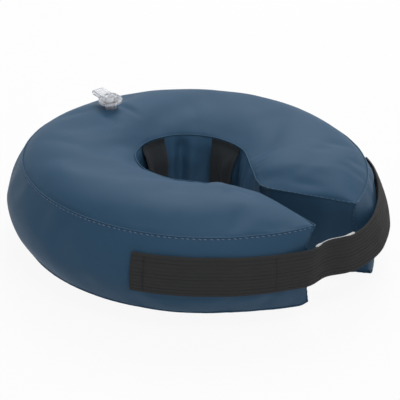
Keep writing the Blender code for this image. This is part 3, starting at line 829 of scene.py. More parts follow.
# %% Folds of the top panel
TOP_FOLDS = [
    # points in plan from one end of the fold to the other, depth and width, all in millimetres
    ([(4.0, -57.0), (6.0, -66.0), (11.0, -75.0), (19.0, -82.0), (28.0, -85.0), (40.0, -84.0)], 0.7, 5.0),
    ([(12.0, -84.0), (17.0, -96.0), (20.0, -108.0)], 0.9, 4.5),
    ([(8.4, 92.6), (9.5, 82.0), (9.0, 70.6)], 1.3, 3.2),
    ([(-7.0, 95.0), (-14.0, 84.0), (-16.0, 72.0)], 0.9, 4.0),
    ([(3.0, 104.0), (8.0, 114.0), (9.0, 124.0)], 0.7, 4.0),
    ([(-76.0, 90.0), (-72.0, 66.0), (-66.0, 44.0)], 0.8, 7.0),
    ([(-102.0, 60.0), (-88.0, 40.0), (-70.0, 26.0)], 0.7, 8.0),
    ([(-112.0, 0.0), (-90.0, -8.0), (-68.0, -10.0)], 0.6, 8.0),
    ([(-26.0, -70.0), (-33.0, -76.0), (-40.0, -88.0)], 0.9, 4.0),
    ([(-50.0, -34.0), (-62.0, -43.0), (-80.0, -55.0)], 2.2, 12.0),
    ([(-34.0, -52.0), (-42.0, -58.0), (-52.0, -66.0)], -1.6, 8.0),
    ([(62.0, 66.0), (54.0, 52.0), (46.0, 40.0)], 0.7, 6.0),
    ([(96.0, -8.0), (78.0, -4.0), (62.0, -4.0)], 0.6, 7.0),
]
FOLD_START, FOLD_SPAN = 0.12, 0.80
FOLD_SWELL, FOLD_SWELL_AT, FOLD_SWELL_WIDE = 0.20, 2.2, 1.2


def line_distance(points, line):
    """Distance in plan of every grid point from a broken line, and the share along it."""
    best, share = np.full(points.shape[:-1], 1.0), np.zeros(points.shape[:-1])
    lengths = run_along(line)
    for k in range(len(line) - 1):
        step = line[k + 1] - line[k]
        f = np.clip(((points[..., :2] - line[k]) @ step) / (step @ step), 0.0, 1.0)
        gap = np.linalg.norm(points[..., :2] - line[k] - f[..., None] * step, axis=-1)
        near = gap < best
        best = np.where(near, gap, best)
        share = np.where(near, (lengths[k] + f * (lengths[k + 1] - lengths[k])) / lengths[-1], share)
    return best, share


def top_depth(points):
    """Depth of the top panel's folds, each with a low swelling beside it."""
    depth = np.zeros(points.shape[:-1])
    for line, deep, wide in TOP_FOLDS:
        gap, share = line_distance(points, np.array(line) * MM)
        fading = np.sin(math.pi * np.clip(FOLD_START + FOLD_SPAN * share, 0.0, 1.0)) ** 0.8
        x = gap / (wide * MM)
        swell = FOLD_SWELL * np.exp(-((x - FOLD_SWELL_AT) / FOLD_SWELL_WIDE) ** 2)
        depth += deep * MM * fading * (np.exp(-x * x) - swell)
    return depth


print("folds on the top", len(TOP_FOLDS))

# %% Folds of the neck wall
BORE_FOLDS = [
    # angle in degrees, depth in millimetres, width in degrees
    (-52, 0.9, 6.0), (-34, 0.8, 5.0), (-14, 1.1, 5.0), (28, 0.8, 4.5), (55, 5.0, 5.5), (71, 1.0, 4.5),
    (113, 1.0, 5.0), (128, 1.2, 5.0), (143, 0.9, 6.0), (158, 1.1, 5.0), (203, 1.1, 5.0), (220, 0.8, 6.0),
    (238, 0.7, 6.0),
]
BORE_TURN_START, BORE_LEAN, BORE_LEAN_STEP = -92.0, 3.0, 2.3
BORE_SWELL, BORE_SWELL_AT, BORE_SWELL_WIDE = 0.35, 2.0, 0.9
BORE_EDGE_SHARE, BORE_STEEP = 0.25, 8.0


def off_seams(share, steep):
    """0 on both seams of a panel, rising to 1 after a short way."""
    return np.clip(steep * share * (1.0 - share), 0.0, 1.0)


def bore_depth(points, v):
    """Depth of the neck wall's folds, each leaning its own way and with a low swelling on both sides."""
    turn = np.degrees(np.arctan2(points[..., 1], points[..., 0]))
    turn = np.where(turn < BORE_TURN_START, turn + 360.0, turn)
    depth = np.zeros(points.shape[:-1])
    for k, (angle, deep, wide) in enumerate(BORE_FOLDS):
        lean = BORE_LEAN * math.sin(BORE_LEAN_STEP * k) * (v - 0.5)
        x = (turn - angle - lean) / wide
        swell = BORE_SWELL * np.exp(-((np.abs(x) - BORE_SWELL_AT) / BORE_SWELL_WIDE) ** 2)
        depth += deep * MM * (np.exp(-x * x) - swell)
    return depth * grow(BORE_EDGE_SHARE, bump(v, 3.0)) * off_seams(v, BORE_STEEP)


print("folds in the neck wall", len(BORE_FOLDS))

# %% [markdown]
# ## Strap line
# The strap's inner face is needed before the cover is finished, because the webbing presses a shallow bed
# into the swollen wall. It is sewn flat on the left arm, dips into the slit and lands on the tape of the
# right arm. A physics strap would find its own way, but not the one in the photograph, so its reach is a
# short table of distances from the ring axis with rounded corners.

# %% Strap line
STRAP_WIDTH, STRAP_THICK, STRAP_HEIGHT = 0.030, 0.0016, 0.0500
STRAP_START, STRAP_HINGE, STRAP_KNEE, STRAP_END = (math.radians(a) for a in (203.0, 248.0, 284.0, 328.5))
RIM_RADIUS = SEAM_RADIUS + WALL_BULGE
FREE_TURN = 0.22
LEFT_CORNER, LEFT_CORNER_WIDE, CORNER_CLEAR = math.radians(257.0), math.radians(6.0), 0.0012


def ease(x):
    """Smooth step from 0 to 1."""
    x = np.clip(x, 0.0, 1.0)
    return x * x * (3.0 - 2.0 * x)


def wall_lean(height):
    """How far the swollen wall falls back at a height, against its fullest radius."""
    return WALL_BULGE * (bump((height - BOTTOM_SEAM) / WALL_HEIGHT, WALL_POWER) - 1.0)


def soft_table(marks, values, blur):
    """Reader of a table of angles in degrees whose corners are rounded off over about blur degrees."""
    fine = np.arange(marks[0] - 20.0, marks[-1] + 20.0, 0.25)
    window = np.exp(-0.5 * (np.arange(-12.0, 12.01, 0.25) / blur) ** 2)
    padded = np.pad(np.interp(fine, marks, values), len(window) // 2, "edge")
    line = np.convolve(padded, window / window.sum(), "valid")
    return lambda angle: np.interp(np.degrees(angle), fine, line)


strap_reach = soft_table(
    [203, 248, 254, 257, 260, 263.5, 266, 269, 272, 276, 282, 287, 295, 303, 313, 321, 327],
    [0.1463, 0.1463, 0.1469, 0.1459, 0.1434, 0.1414, 0.1424, 0.1454, 0.1479, 0.1489, 0.1498, 0.1503, 0.1503,
     0.1505, 0.1508, 0.1513, 0.1510], 1.3)
strap_lean = soft_table([203, 264, 272, 282, 287, 294, 303, 313, 321, 327],
                        [0.0, 0.0, -0.08, -0.18, -0.27, -0.33, -0.38, -0.38, -0.32, -0.25], 2.5)
strap_curl = soft_table([203, 282, 300, 327], [0.0, 0.0, 8.0, 8.0], 2.5)


def strap_face(angle, height, out):
    """Point on the strap at an angle and a height, out from its inner face."""
    angle, height = np.broadcast_arrays(np.asarray(angle, float), np.asarray(height, float))
    free = ease((angle - STRAP_HINGE) / FREE_TURN)
    rise = height - STRAP_HEIGHT
    reach = strap_reach(angle) + wall_lean(height) * (1.0 - free)
    reach = reach + strap_lean(angle) * rise - strap_curl(angle) * rise ** 2
    flare = CORNER_FLARE * np.exp(-((angle - LEFT_CORNER) / LEFT_CORNER_WIDE) ** 2)
    reach = np.maximum(reach, SEAM_RADIUS + flare + CORNER_CLEAR) + out
    return np.stack((reach * np.cos(angle), reach * np.sin(angle), height), axis=-1)


print("strap runs", round(float(strap_reach(STRAP_HINGE)) * (STRAP_END - STRAP_START) * 1000), "mm")

# %% Strap bed
BED_LEAD, BED_TAIL, BED_EASE, BED_EDGE, BED_CLEAR = 0.05, 0.09, 0.05, 0.006, 0.0004
TAPE_ROOM, TAPE_ROOM_FROM, TAPE_ROOM_TURN = 0.0029, math.radians(285.0), 0.25
TAPED_FROM, TAPED_TURN, MOST_FILL = math.radians(288.0), 0.16, 0.006


def strap_bed(points):
    """Keep the wall's cloth behind the strap, and close behind it where it is taped."""
    turn = np.arctan2(points[..., 1], points[..., 0]) + math.tau
    within = ease((turn - STRAP_START + BED_LEAD) / BED_EASE) * ease((STRAP_END + BED_TAIL - turn) / BED_EASE)
    gap = np.abs(points[..., 2] - STRAP_HEIGHT) - 0.5 * STRAP_WIDTH
    within = within * ease((BED_EDGE - gap) / BED_EDGE)
    radius = np.hypot(points[..., 0], points[..., 1])
    face = strap_face(turn, points[..., 2], 0.0)
    limit = np.hypot(face[..., 0], face[..., 1]) - BED_CLEAR
    limit = limit - TAPE_ROOM * ease((turn - TAPE_ROOM_FROM) / TAPE_ROOM_TURN)
    limit = np.where(turn < STRAP_HINGE, RIM_RADIUS + wall_lean(points[..., 2]) - BED_CLEAR, limit)
    taped = ease((turn - TAPED_FROM) / TAPED_TURN)
    fill = -np.minimum(limit - radius, MOST_FILL) * taped
    extra = np.where(radius > limit, radius - limit, fill) * within
    moved = points.copy()
    moved[..., :2] *= ((radius - extra) / radius)[..., None]
    return moved


print("the wall lies at least", BED_CLEAR, "m behind the strap")

# %% [markdown]
# ## Cover panels
# Each panel is drawn fine enough for its weave of folds: the smooth dome, the air's own wrinkles from the
# simulation, the drawn creases, and puckers that gather where the stitches pull the cloth in. A narrow
# groove along every seam leaves room for the turned lip that is sewn over it.

# %% Puckers
PUCKERS = (
    # size, depth, how far in they die out, how far in they start, step of the seed
    (0.0075, 0.0006, 0.006, 0.002, 0),
    (0.021, 0.0008, 0.014, 0.003, 4),
)
GROOVE_DEEP, GROOVE_WIDE = 0.0004, 0.0018


def uneven_field(points, size, seed):
    """Smooth uneven field between about -1 and 1 over points in metres."""
    shift = Vector((seed * 7.31, seed * 3.17, seed * 1.73))
    flat = np.asarray(points).reshape(-1, 3) / size
    return np.array([noise.noise(Vector(p) + shift) for p in flat]).reshape(np.asarray(points).shape[:-1])


def across_panel(count):
    """Shares across a panel, closer together towards its seams."""
    w = np.linspace(0.0, 1.0, count)
    return w - 0.35 * np.sin(math.tau * w) / math.tau


def seam_puckers(points, w, edge_length, seed):
    """Short gathers that run in from both long seams and die out after a centimetre or two."""
    depth = np.zeros(points.shape[:-1])
    for k, gap in enumerate((w * edge_length, (1.0 - w) * edge_length)):
        run = run_along(points[:, 0 if k == 0 else -1])
        spot = np.stack((run, np.full_like(run, seed + 3.0 * k), np.zeros_like(run)), axis=-1)
        for size, deep, reach, start, step in PUCKERS:
            gather = deep * uneven_field(spot, size, seed + k + step)
            depth += gather[:, None] * np.exp(-gap / reach) * np.clip(gap / start, 0.0, 1.0)
        depth -= GROOVE_DEEP * np.exp(-(gap / GROOVE_WIDE) ** 2)
    return depth


print("kinds of pucker", len(PUCKERS))

# %% Panel surfaces
PANEL_SIZE = {"top_panel": (400, 60), "outer_wall": (400, 40), "bore_wall": (300, 34),
              "bottom_panel": (240, 30)}
SEEDS = {"top_panel": 1, "outer_wall": 2, "bore_wall": 3, "bottom_panel": 4}
OUTWARD = {"top_panel": lambda p: np.array([0, 0, 1.0]), "bottom_panel": lambda p: np.array([0, 0, -1.0]),
           "outer_wall": lambda p: p * PLAN, "bore_wall": lambda p: -p * PLAN}
UNEVEN_DEEP, UNEVEN_SIZE, UNEVEN_SEED = 0.0005, 0.035, 11
TOP_STEEP, END_CALM, VALVE_HOLE = 9.0, 0.012, 0.0056


def panel_surface(panel):
    """Finished outer grid of one panel, its outward normals and its shares along the ring."""
    rows, cols = PANEL_SIZE[panel]
    t, w = along_ring(rows), across_panel(cols)
    points = SHAPES[panel](t[:, None], w[None, :])
    out = OUTWARD[panel](middle(points))
    points = points + blown_move(panel, t, w)
    length = run_along(points[rows // 2])[-1]
    lift = seam_puckers(points, np.broadcast_to(w[None, :], points.shape[:-1]), length, SEEDS[panel])
    uneven = UNEVEN_DEEP * uneven_field(points, UNEVEN_SIZE, SEEDS[panel] + UNEVEN_SEED)
    lift += uneven * bump(w, 4.0)[None, :]
    if panel == "top_panel":
        lift -= top_depth(points) * off_seams(w, TOP_STEEP)[None, :]
    if panel == "bore_wall":
        lift -= bore_depth(points, w[None, :])
    lift *= np.clip(np.minimum(t, 1.0 - t) / END_CALM, 0.0, 1.0)[:, None]
    points = points + normals_facing(points, out) * lift[..., None]
    if panel == "outer_wall":
        points = strap_bed(points)
    if panel == "bottom_panel":
        points[..., 2] = np.maximum(points[..., 2], 0.0)
    return points, normals_facing(points, out), t


def valve_hole(grid):
    """Quads of the top panel that the valve's neck takes up, with the points round them drawn to a circle."""
    away = grid[..., :2] - VALVE_SPOT
    reach = np.linalg.norm(away, axis=-1)
    inside = reach < VALVE_HOLE
    hole = inside[:-1, :-1] | inside[1:, :-1] | inside[1:, 1:] | inside[:-1, 1:]
    rim = np.zeros(inside.shape, bool)
    for a in (slice(None, -1), slice(1, None)):
        for b in (slice(None, -1), slice(1, None)):
            rim[a, b] |= hole
    rim &= ~inside
    grid = grid.copy()
    grid[rim, :2] = VALVE_SPOT + away[rim] * (VALVE_HOLE / reach[rim])[:, None]
    return grid, hole


print("largest panel", max(PANEL_SIZE.values()))

# %% Cover panels
SURFACE = {}
for panel in PANEL_SIZE:
    grid, normal, shares = panel_surface(panel)
    hole = None
    if panel == "top_panel":
        grid, hole = valve_hole(grid)
    SURFACE[panel] = grid
    uv = grid_lengths(grid)
    spans = halves(shares)

    def make_panel(part):
        keep = spans[part]
        # the neck wall takes the lighter copy of the cover's cloth, painted light for the shaded inside of the
        # hole
        material = neck_cloth if panel == "bore_wall" else cover_cloth
        gap = None if hole is None else hole[keep.start:keep.stop - 1]
        name = "cloth_" + panel + "_" + part
        return cloth_sheet(name, grid[keep], normal[keep], uv[keep], COVER, material, gap)

    place_split(make_panel, panel)
    print(panel, grid.shape[0] * grid.shape[1], "points")

# %% [markdown]
# ## End panels
# The slit's two faces are flat pieces of cloth that close the tube. They hardly swell, and their seams show
# as a lip along the top edge, painted paler as a highlight. They are too small for the simulation's coarse
# bag, so their soft waves come from a smooth uneven field instead.

# %% End panels
ARM_ENDS = ((RIGHT, "body", "ring_body"), (LEFT, "left_arm", "left_arm"))
END_SIZE, END_STEEP = (44, 36), 24.0
WAVE_DEEP, WAVE_SIZE, WAVE_SEED, WAVE_STRETCH = 0.0016, 0.016, 21, np.array([1.0, 1.0, 0.45])
SWELL_DEEP, SWELL_SIZE, SWELL_SEED = 0.0010, 0.03, 25


def end_surface(side):
    """Finished grid of one end panel and its outward normals."""
    u, v = (np.linspace(0.0, 1.0, count) for count in END_SIZE)
    out = slit_frame(side)[2]
    points = end_shape(side, u[:, None], v[None, :])
    lift = WAVE_DEEP * uneven_field(points * WAVE_STRETCH, WAVE_SIZE, WAVE_SEED + side)
    lift += SWELL_DEEP * uneven_field(points, SWELL_SIZE, SWELL_SEED + side)
    lift *= off_seams(u, END_STEEP)[:, None] * off_seams(v, END_STEEP)[None, :]
    points = points + normals_facing(points, out) * lift[..., None]
    return points, normals_facing(points, out)


END_SURFACE = {}
for side, tag, body in ARM_ENDS:
    grid, normal = end_surface(side)
    END_SURFACE[side] = grid
    piece = cloth_sheet("cloth_end_panel_" + tag, grid, normal, grid_lengths(grid), COVER, cover_cloth)
    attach(piece, body)
    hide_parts("end_panel_" + tag)
print("end panels", len(END_SURFACE))

# %% [markdown]
# ## Seam lips and stitches
# Where two panels meet, the cloth edges are turned out into a narrow lip and sewn through. The lip is a thin
# tube swept along the seam that dips at every stitch, and each stitch that shows is its own short thread, a
# little askew. A bump pattern would be lighter, but as geometry they stay crisp at any distance.

# %% Sweeps
def resample(path, step):
    """Evenly spaced points on a path, about step apart."""
    run = run_along(path)
    count = max(int(round(run[-1] / step)), 2)
    where = np.linspace(0.0, run[-1], count + 1)
    return np.stack([np.interp(where, run, path[:, k]) for k in range(3)], axis=-1), where


def path_frames(path, outward):
    """Unit tangent, outward and side directions along a path; outward is a hint at each point."""
    tangent = np.gradient(path, axis=0)
    tangent /= np.linalg.norm(tangent, axis=1, keepdims=True)
    out = outward - tangent * np.sum(outward * tangent, axis=1, keepdims=True)
    out /= np.linalg.norm(out, axis=1, keepdims=True)
    return tangent, out, np.cross(tangent, out)


def sweep(name, path, out, side, section, run, material):
    """Closed tube: section(k) gives the (out, side) offsets of its loop at path point k."""
    loops = [np.asarray(section(k)) for k in range(len(path))]
    verts = [path[k] + loop[:, :1] * out[k] + loop[:, 1:] * side[k] for k, loop in enumerate(loops)]
    uvs = np.stack(np.meshgrid(run, run_along(loops[0]), indexing="ij"), axis=-1).reshape(-1, 2)
    return mesh_piece(name, material, np.concatenate(verts), tube_faces(len(path), len(loops[0])), uvs)


def circle(steps):
    """Angles of evenly spaced points on a circle."""
    return np.linspace(0.0, math.tau, steps, endpoint=False)


print("sweeps are ready")

# %% Lips and stitches
STITCH_PITCH, STITCH_LONG, STITCH_ROUND, STITCH_SIDES = 0.0042, 0.0023, 0.00034, 7
STITCH_SAG, STITCH_TILT_SWING, STITCH_TILT_SIZE = 0.35, 0.10, 0.004
CAPSULE = [(-0.5, 0.35), (-0.42, 0.80), (-0.2, 1.0), (0.0, 1.0), (0.2, 1.0), (0.42, 0.80), (0.5, 0.35)]
SEAM_STEP, LIP_ROUND, SLIT_LIP_ROUND = 0.0009, 0.00045, 0.0005
LIP_NIP, LIP_WAVE, LIP_WAVE_SIZE = 0.22, 0.18, 0.006


def lip(name, path, outward, radius):
    """Turned cloth edge along a seam, nipped in at every stitch; gives the piece and the line it follows."""
    points, run = resample(path, SEAM_STEP)
    here, there = np.linspace(0, 1, len(points)), np.linspace(0, 1, len(outward))
    hint = np.stack([np.interp(here, there, outward[:, k]) for k in range(3)], axis=-1)
    _, out, side = path_frames(points, hint)
    turns = circle(10)

    def section(k):
        nip = 1.0 - LIP_NIP * math.cos(math.tau * run[k] / STITCH_PITCH) ** 8
        wave = 1.0 + LIP_WAVE * noise.noise(Vector((run[k] / LIP_WAVE_SIZE, 3.0, 7.0)))
        return np.stack((radius * nip * wave * np.cos(turns), radius * nip * np.sin(turns)), axis=-1)

    # the lip's paler cloth is a painted highlight on the turned seam edge
    return sweep(name, points, out, side, section, run, lip_cloth), points, out, side, run


def stitches(name, points, out, side, run, material, lift, askew=0.26, pitch=STITCH_PITCH):
    """A row of short threads on a seam, each lying a little askew."""
    tangent = np.gradient(points, axis=0)
    tangent /= np.linalg.norm(tangent, axis=1, keepdims=True)
    turns = circle(STITCH_SIDES)
    shape = tube_faces(len(CAPSULE), STITCH_SIDES)
    verts, faces, uvs = [], [], []
    for at in np.arange(0.5 * pitch, run[-1] - 0.4 * pitch, pitch):
        k = min(int(np.searchsorted(run, at)), len(run) - 1)
        tilt = askew + STITCH_TILT_SWING * noise.noise(Vector((at / STITCH_TILT_SIZE, 1.0, 2.0)))
        ahead = tangent[k] * math.cos(tilt) + side[k] * math.sin(tilt)
        aside = np.cross(ahead, out[k])
        round_it = np.cos(turns)[:, None] * out[k] + np.sin(turns)[:, None] * aside
        first = len(verts) * STITCH_SIDES
        for f, r in CAPSULE:
            sag = STITCH_SAG * STITCH_ROUND * (4.0 * f * f)
            centre = points[k] + out[k] * lift + ahead * STITCH_LONG * f - out[k] * sag
            verts.append(centre + STITCH_ROUND * r * round_it)
            uvs.append(np.stack((np.full(STITCH_SIDES, STITCH_LONG * f), turns * STITCH_ROUND), axis=-1))
        faces += [[first + corner for corner in face] for face in shape]
    return mesh_piece(name, material, np.concatenate(verts), faces, np.concatenate(uvs))


print("stitch pitch", STITCH_PITCH, "m")

# %% Seams along the ring
SEAMS = {
    # name: panel, its column, how far the lip is moved (out, up), which way it leans (out, up)
    "rim_top": ("outer_wall", -1, (0.0003, 0.0002), (0.75, 0.66)),
    "rim_bottom": ("outer_wall", 0, (0.0002, -0.0002), (0.25, -0.97)),
    "neck_top": ("bore_wall", -1, (-0.0004, 0.0005), (-0.55, 0.83)),
    "neck_bottom": ("bore_wall", 0, (-0.0004, -0.0005), (-0.55, -0.83)),
}
SEWN_OUTSIDE = ("rim_top",)
UP = np.array([0.0, 0.0, 1.0])

for label, (panel, column, push, lean) in SEAMS.items():
    edge = SURFACE[panel][:, column]
    flat = edge * PLAN / np.linalg.norm(edge * PLAN, axis=1, keepdims=True)
    path = edge + flat * push[0] + UP * push[1]
    hint = flat * lean[0] + UP * lean[1]
    spans = halves(along_ring(len(path)))

    def make_lip(part):
        keep = spans[part]
        return lip("lip_" + label + "_" + part, path[keep], hint[keep], LIP_ROUND)[0]

    def make_thread(part):
        points, run = resample(SURFACE[panel][spans[part], -2], SEAM_STEP)
        _, out, side = path_frames(points, points * PLAN)
        return stitches("thread_" + label + "_" + part, points, out, side, run, thread_blue, lift=0.0001)

    place_split(make_lip, None)
    if label in SEWN_OUTSIDE:
        place_split(make_thread, None)
print("seams along the ring", sorted(SEAMS))

# %% Seams round the slit's faces
SLIT_PUSH, SLIT_LEAN = 0.0003, (0.75, 0.66)

for side, tag, body in ARM_ENDS:
    grid = END_SURFACE[side]
    loop = np.concatenate((grid[:, -1], grid[-1, -2::-1], grid[-2::-1, 0], grid[0, 1:-1], grid[:1, -1]))
    face_out = slit_frame(side)[2]
    away = loop - middle(grid)
    away = away - (away @ face_out)[:, None] * face_out
    away /= np.linalg.norm(away, axis=1, keepdims=True)
    path, hint = loop + SLIT_PUSH * (away + face_out), SLIT_LEAN[0] * away + SLIT_LEAN[1] * face_out
    edge, points, out, across, run = lip("lip_slit_" + tag, path, hint, SLIT_LIP_ROUND)
    sewn = stitches("thread_slit_" + tag, points, out, across, run, thread_navy, lift=0.0003)
    for piece in (edge, sewn):
        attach(piece, body)
print("slit seams", len(ARM_ENDS))

# %% [markdown]
# ## Collar loops
# Three strips of dark webbing are sewn into the neck wall's top and bottom seams, and the pet's own collar
# is threaded behind them. Each strip is a thin closed sheet that stands off the wall between its sewn ends.
# It could be a plain bent plane, but it follows the finished wall, folds and all, so it never sinks into the
# cloth.

# %% Collar loops
LOOPS = {
    # name: angle in degrees, width, how far the foot is sewn to one side in degrees
    "right": (3.0, 0.031, 5.0),
    "back": (90.8, 0.0258, 0.0),
    "left": (181.0, 0.029, 0.0),
}
LOOP_THICK, LOOP_SHEET, LOOP_SLACK, LOOP_SEWN = 0.0014, 0.0011, 0.0055, 0.06
LOOP_FOOT, LOOP_SPAN, LOOP_SIZE = 0.025, 0.973, (60, 49)
LOOP_STAND, LOOP_TOP_STAND, LOOP_TOP = 0.0004, 0.0006, 0.9
LOOP_HEM, LOOP_WAVE, LOOP_RIBS, LOOP_RIB_DEEP = 0.0006, 0.0006, 9, 0.00022


def wall_reader(panel):
    """Reads how far a finished wall is from the ring axis at angles and a share of its height."""
    grid = SURFACE[panel]
    turns = np.unwrap(np.arctan2(grid[..., 1], grid[..., 0]), axis=0)
    reach = np.hypot(grid[..., 0], grid[..., 1])
    shares = across_panel(grid.shape[1])

    def read(angle, v):
        column = float(np.interp(v, shares, np.arange(len(shares))))
        low = min(int(column), len(shares) - 2)
        pair = [np.interp(angle, turns[:, k], reach[:, k]) for k in (low, low + 1)]
        return pair[0] * (1.0 + low - column) + pair[1] * (column - low)

    return read


neck_wall, rim_wall = wall_reader("bore_wall"), wall_reader("outer_wall")


def ribbed_webbing(share, ribs, deep):
    """Height of woven ribs across a strip, for shares 0 to 1."""
    return -deep * (1.0 - np.abs(np.sin(math.pi * ribs * share))) ** 2


def collar_loop(tag, degrees, width, slant):
    """One strip at an angle round the neck hole, with its foot sewn to one side by slant."""
    turn = 0.5 * width / BORE_RADIUS
    shares, across = (np.linspace(0.0, 1.0, count) for count in LOOP_SIZE)
    relief = LOOP_HEM * (1.0 - bump(across, 10.0)) - ribbed_webbing(across, LOOP_RIBS, LOOP_RIB_DEEP)
    points = np.empty((len(shares), len(across), 3))
    for i, share in enumerate(shares):
        v = LOOP_FOOT + LOOP_SPAN * share
        angle = math.radians(degrees - slant * (1.0 - share)) - turn + 2.0 * turn * across
        free = min(max((share - LOOP_SEWN) / (1.0 - 2.0 * LOOP_SEWN), 0.0), 1.0)
        level = np.minimum(neck_wall(angle, v), bore_edge(angle) - BORE_BULGE * bump(v, WALL_POWER))
        stand = LOOP_STAND + LOOP_TOP_STAND * ease((share - LOOP_TOP) / (1.0 - LOOP_TOP))
        stand += LOOP_SLACK * bump(free, 2.6)
        wave = np.array([noise.noise(Vector((a * 2.0, share * 3.0, degrees))) for a in across])
        reach = level - stand - LOOP_THICK + relief - LOOP_WAVE * wave * bump(free, 2.0)
        height = np.full_like(angle, BOTTOM_SEAM + WALL_HEIGHT * v)
        points[i] = np.stack((reach * np.cos(angle), reach * np.sin(angle), height), axis=-1)
    normal = normals_facing(points, -middle(points) * PLAN)
    return cloth_sheet("webbing_loop_" + tag, points, normal, grid_lengths(points), LOOP_SHEET, loop_cloth)


for tag, (degrees, width, slant) in LOOPS.items():
    piece = collar_loop(tag, degrees, width, slant)
    if tag == "left":
        bend_left(piece)
    else:
        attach(piece, "ring_body")
    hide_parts("collar_loop_" + tag)
print("collar loops", sorted(LOOPS))

# %% [markdown]
# ## Strap
# The closing strap is heavy ribbed webbing. A flat band with a bump pattern would do from afar, but its ribs
# show at the edges, so its section is drawn once with eleven rounded ribs on the outside and soft edges,
# then swept round the rim. It is sewn to the left arm, folds at the slit's left edge and peels off the right
# arm, so it is cut into three pieces.

# %% Strap shape
RIBS, RIB_DEEP, STRAP_EDGE, STRAP_STEP = 11, 0.00070, 0.0006, 0.0020
STITCH_LINES = [math.radians(a) for a in (206.8, 244.7, 248.9)]
STITCH_SINK, STITCH_SINK_WIDE, STRAP_WAVE, STRAP_LIFT = 0.00045, 0.0011, 0.0003, 0.0001
SAG_MARKS = np.radians([203, 215, 227, 243, 255, 266, 275, 283, 292, 327])
SAG = [0.0005, 0.0008, 0.0009, -0.0005, -0.0018, -0.0021, -0.0028, -0.0026, -0.0016, 0.0]


def strap_section():
    """Loop of (height, out) offsets: ribbed outside, plain inside, soft edges."""
    half = 0.5 * STRAP_WIDTH
    flat = half - STRAP_EDGE
    face = np.linspace(-flat, flat, RIBS * 6 + 1)
    rib = ribbed_webbing((face + half) / STRAP_WIDTH, RIBS, RIB_DEEP)
    outer = np.stack((face, STRAP_THICK + rib), axis=-1)
    turns = np.linspace(math.radians(60.0), math.radians(-60.0), 4)
    bend = np.stack((flat + STRAP_EDGE * np.cos(turns), 0.5 * STRAP_THICK * (1.0 + np.sin(turns))), axis=-1)
    inside = np.stack((np.linspace(flat, -flat, 15), np.zeros(15)), axis=-1)
    return np.concatenate((outer, bend, inside, bend[::-1] * np.array([-1.0, 1.0])))


def strap_sag(angle):
    """How the strap wanders up and down as it goes round."""
    return np.interp(angle, SAG_MARKS, SAG)


def strap_grid(angles, section):
    """Points of the strap: one loop of the section at every angle, sunk in where it is sewn."""
    loops = []
    for angle in angles:
        gaps = [(angle - line) * RIM_RADIUS / STITCH_SINK_WIDE for line in STITCH_LINES]
        sunk = sum(STITCH_SINK * math.exp(-gap ** 2) for gap in gaps)
        wave = STRAP_WAVE * noise.noise(Vector((angle * 9.0, 5.0, 1.0)))
        height = STRAP_HEIGHT + section[:, 0] + strap_sag(angle)
        out = section[:, 1] * (1.0 - sunk / STRAP_THICK) + wave + STRAP_LIFT
        loops.append(strap_face(angle, height, out))
    return np.stack(loops)


def strap_piece(name, begin, end):
    section = strap_section()
    angles = np.linspace(begin, end, max(int((end - begin) * RIM_RADIUS / STRAP_STEP), 4) + 1)
    grid = strap_grid(angles, section)
    faces = tube_faces(*grid.shape[:2])
    uvs = np.stack(np.broadcast_arrays((angles * RIM_RADIUS)[:, None], section[None, :, 0]), axis=-1)
    normal = np.cross(np.roll(grid, -1, axis=1) - np.roll(grid, 1, axis=1), np.gradient(grid, axis=0))
    normal /= np.maximum(np.linalg.norm(normal, axis=-1, keepdims=True), 1e-12)
    row, column = len(angles) // 2, RIBS * 3
    normal *= np.sign(normal[row, column] @ (grid[row, column] * PLAN))
    if (np.cross(grid[0, 1] - grid[0, 0], grid[1, 0] - grid[0, 0]) @ normal[0, 0]) < 0.0:
        faces = [face[::-1] for face in faces]
    verts, normals = grid.reshape(-1, 3), normal.reshape(-1, 3)
    return mesh_piece(name, webbing_cloth, verts, faces, uvs.reshape(-1, 2), normals)


def fold_zone(angle, before, after):
    """Start and end points of a fold of the strap: a span along the strap about an angle."""
    ahead = np.array([-math.sin(angle), math.cos(angle), 0.0])
    spot = strap_face(angle, STRAP_HEIGHT, STRAP_THICK)
    return tuple(spot - ahead * before), tuple(spot + ahead * after)


print("strap section", len(strap_section()), "points")

# %% Strap
STRAP_CUT, STRAP_JOIN = math.radians(246.0), math.radians(266.0)
HINGE_BEFORE, HINGE_AFTER, KNEE_HALF = 0.0045, 0.0110, 0.009

strap_sewn = strap_piece("webbing_strap_sewn", STRAP_START, STRAP_CUT)
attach(strap_sewn, "left_arm")
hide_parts("strap_anchor")
strap_over = strap_piece("webbing_strap_over", STRAP_CUT, STRAP_JOIN)
start, end = fold_zone(STRAP_HINGE, HINGE_BEFORE, HINGE_AFTER)
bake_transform(strap_over)
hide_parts("strap_bridge")
strap_tail = strap_piece("webbing_strap_tail", STRAP_JOIN, STRAP_END)
start, end = fold_zone(STRAP_KNEE, KNEE_HALF, KNEE_HALF)
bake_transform(strap_tail)
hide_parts("strap_tail")
print("strap pieces", strap_sewn.name, strap_over.name, strap_tail.name)

# %% Strap stitching
THREAD_INSET, THREAD_SINK, THREAD_STEP = 0.0015, 0.00035, 0.0006


def strap_thread(name, angle):
    """A row of stitches across the strap."""
    reach = 0.5 * STRAP_WIDTH - THREAD_INSET
    heights = np.linspace(-reach, reach, 40) + STRAP_HEIGHT
    path = strap_face(np.full_like(heights, angle), heights + strap_sag(angle), STRAP_THICK - THREAD_SINK)
    points, run = resample(path, THREAD_STEP)
    _, out, side = path_frames(points, points * PLAN)
    return stitches(name, points, out, side, run, thread_dark, lift=0.0002, askew=0.12, pitch=0.0030)


for k, line in enumerate(STITCH_LINES[:2]):
    piece = strap_thread("thread_strap_%d" % (k + 1), line)
    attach(piece, "left_arm")
print("strap sewn at", [round(math.degrees(a), 1) for a in STITCH_LINES])

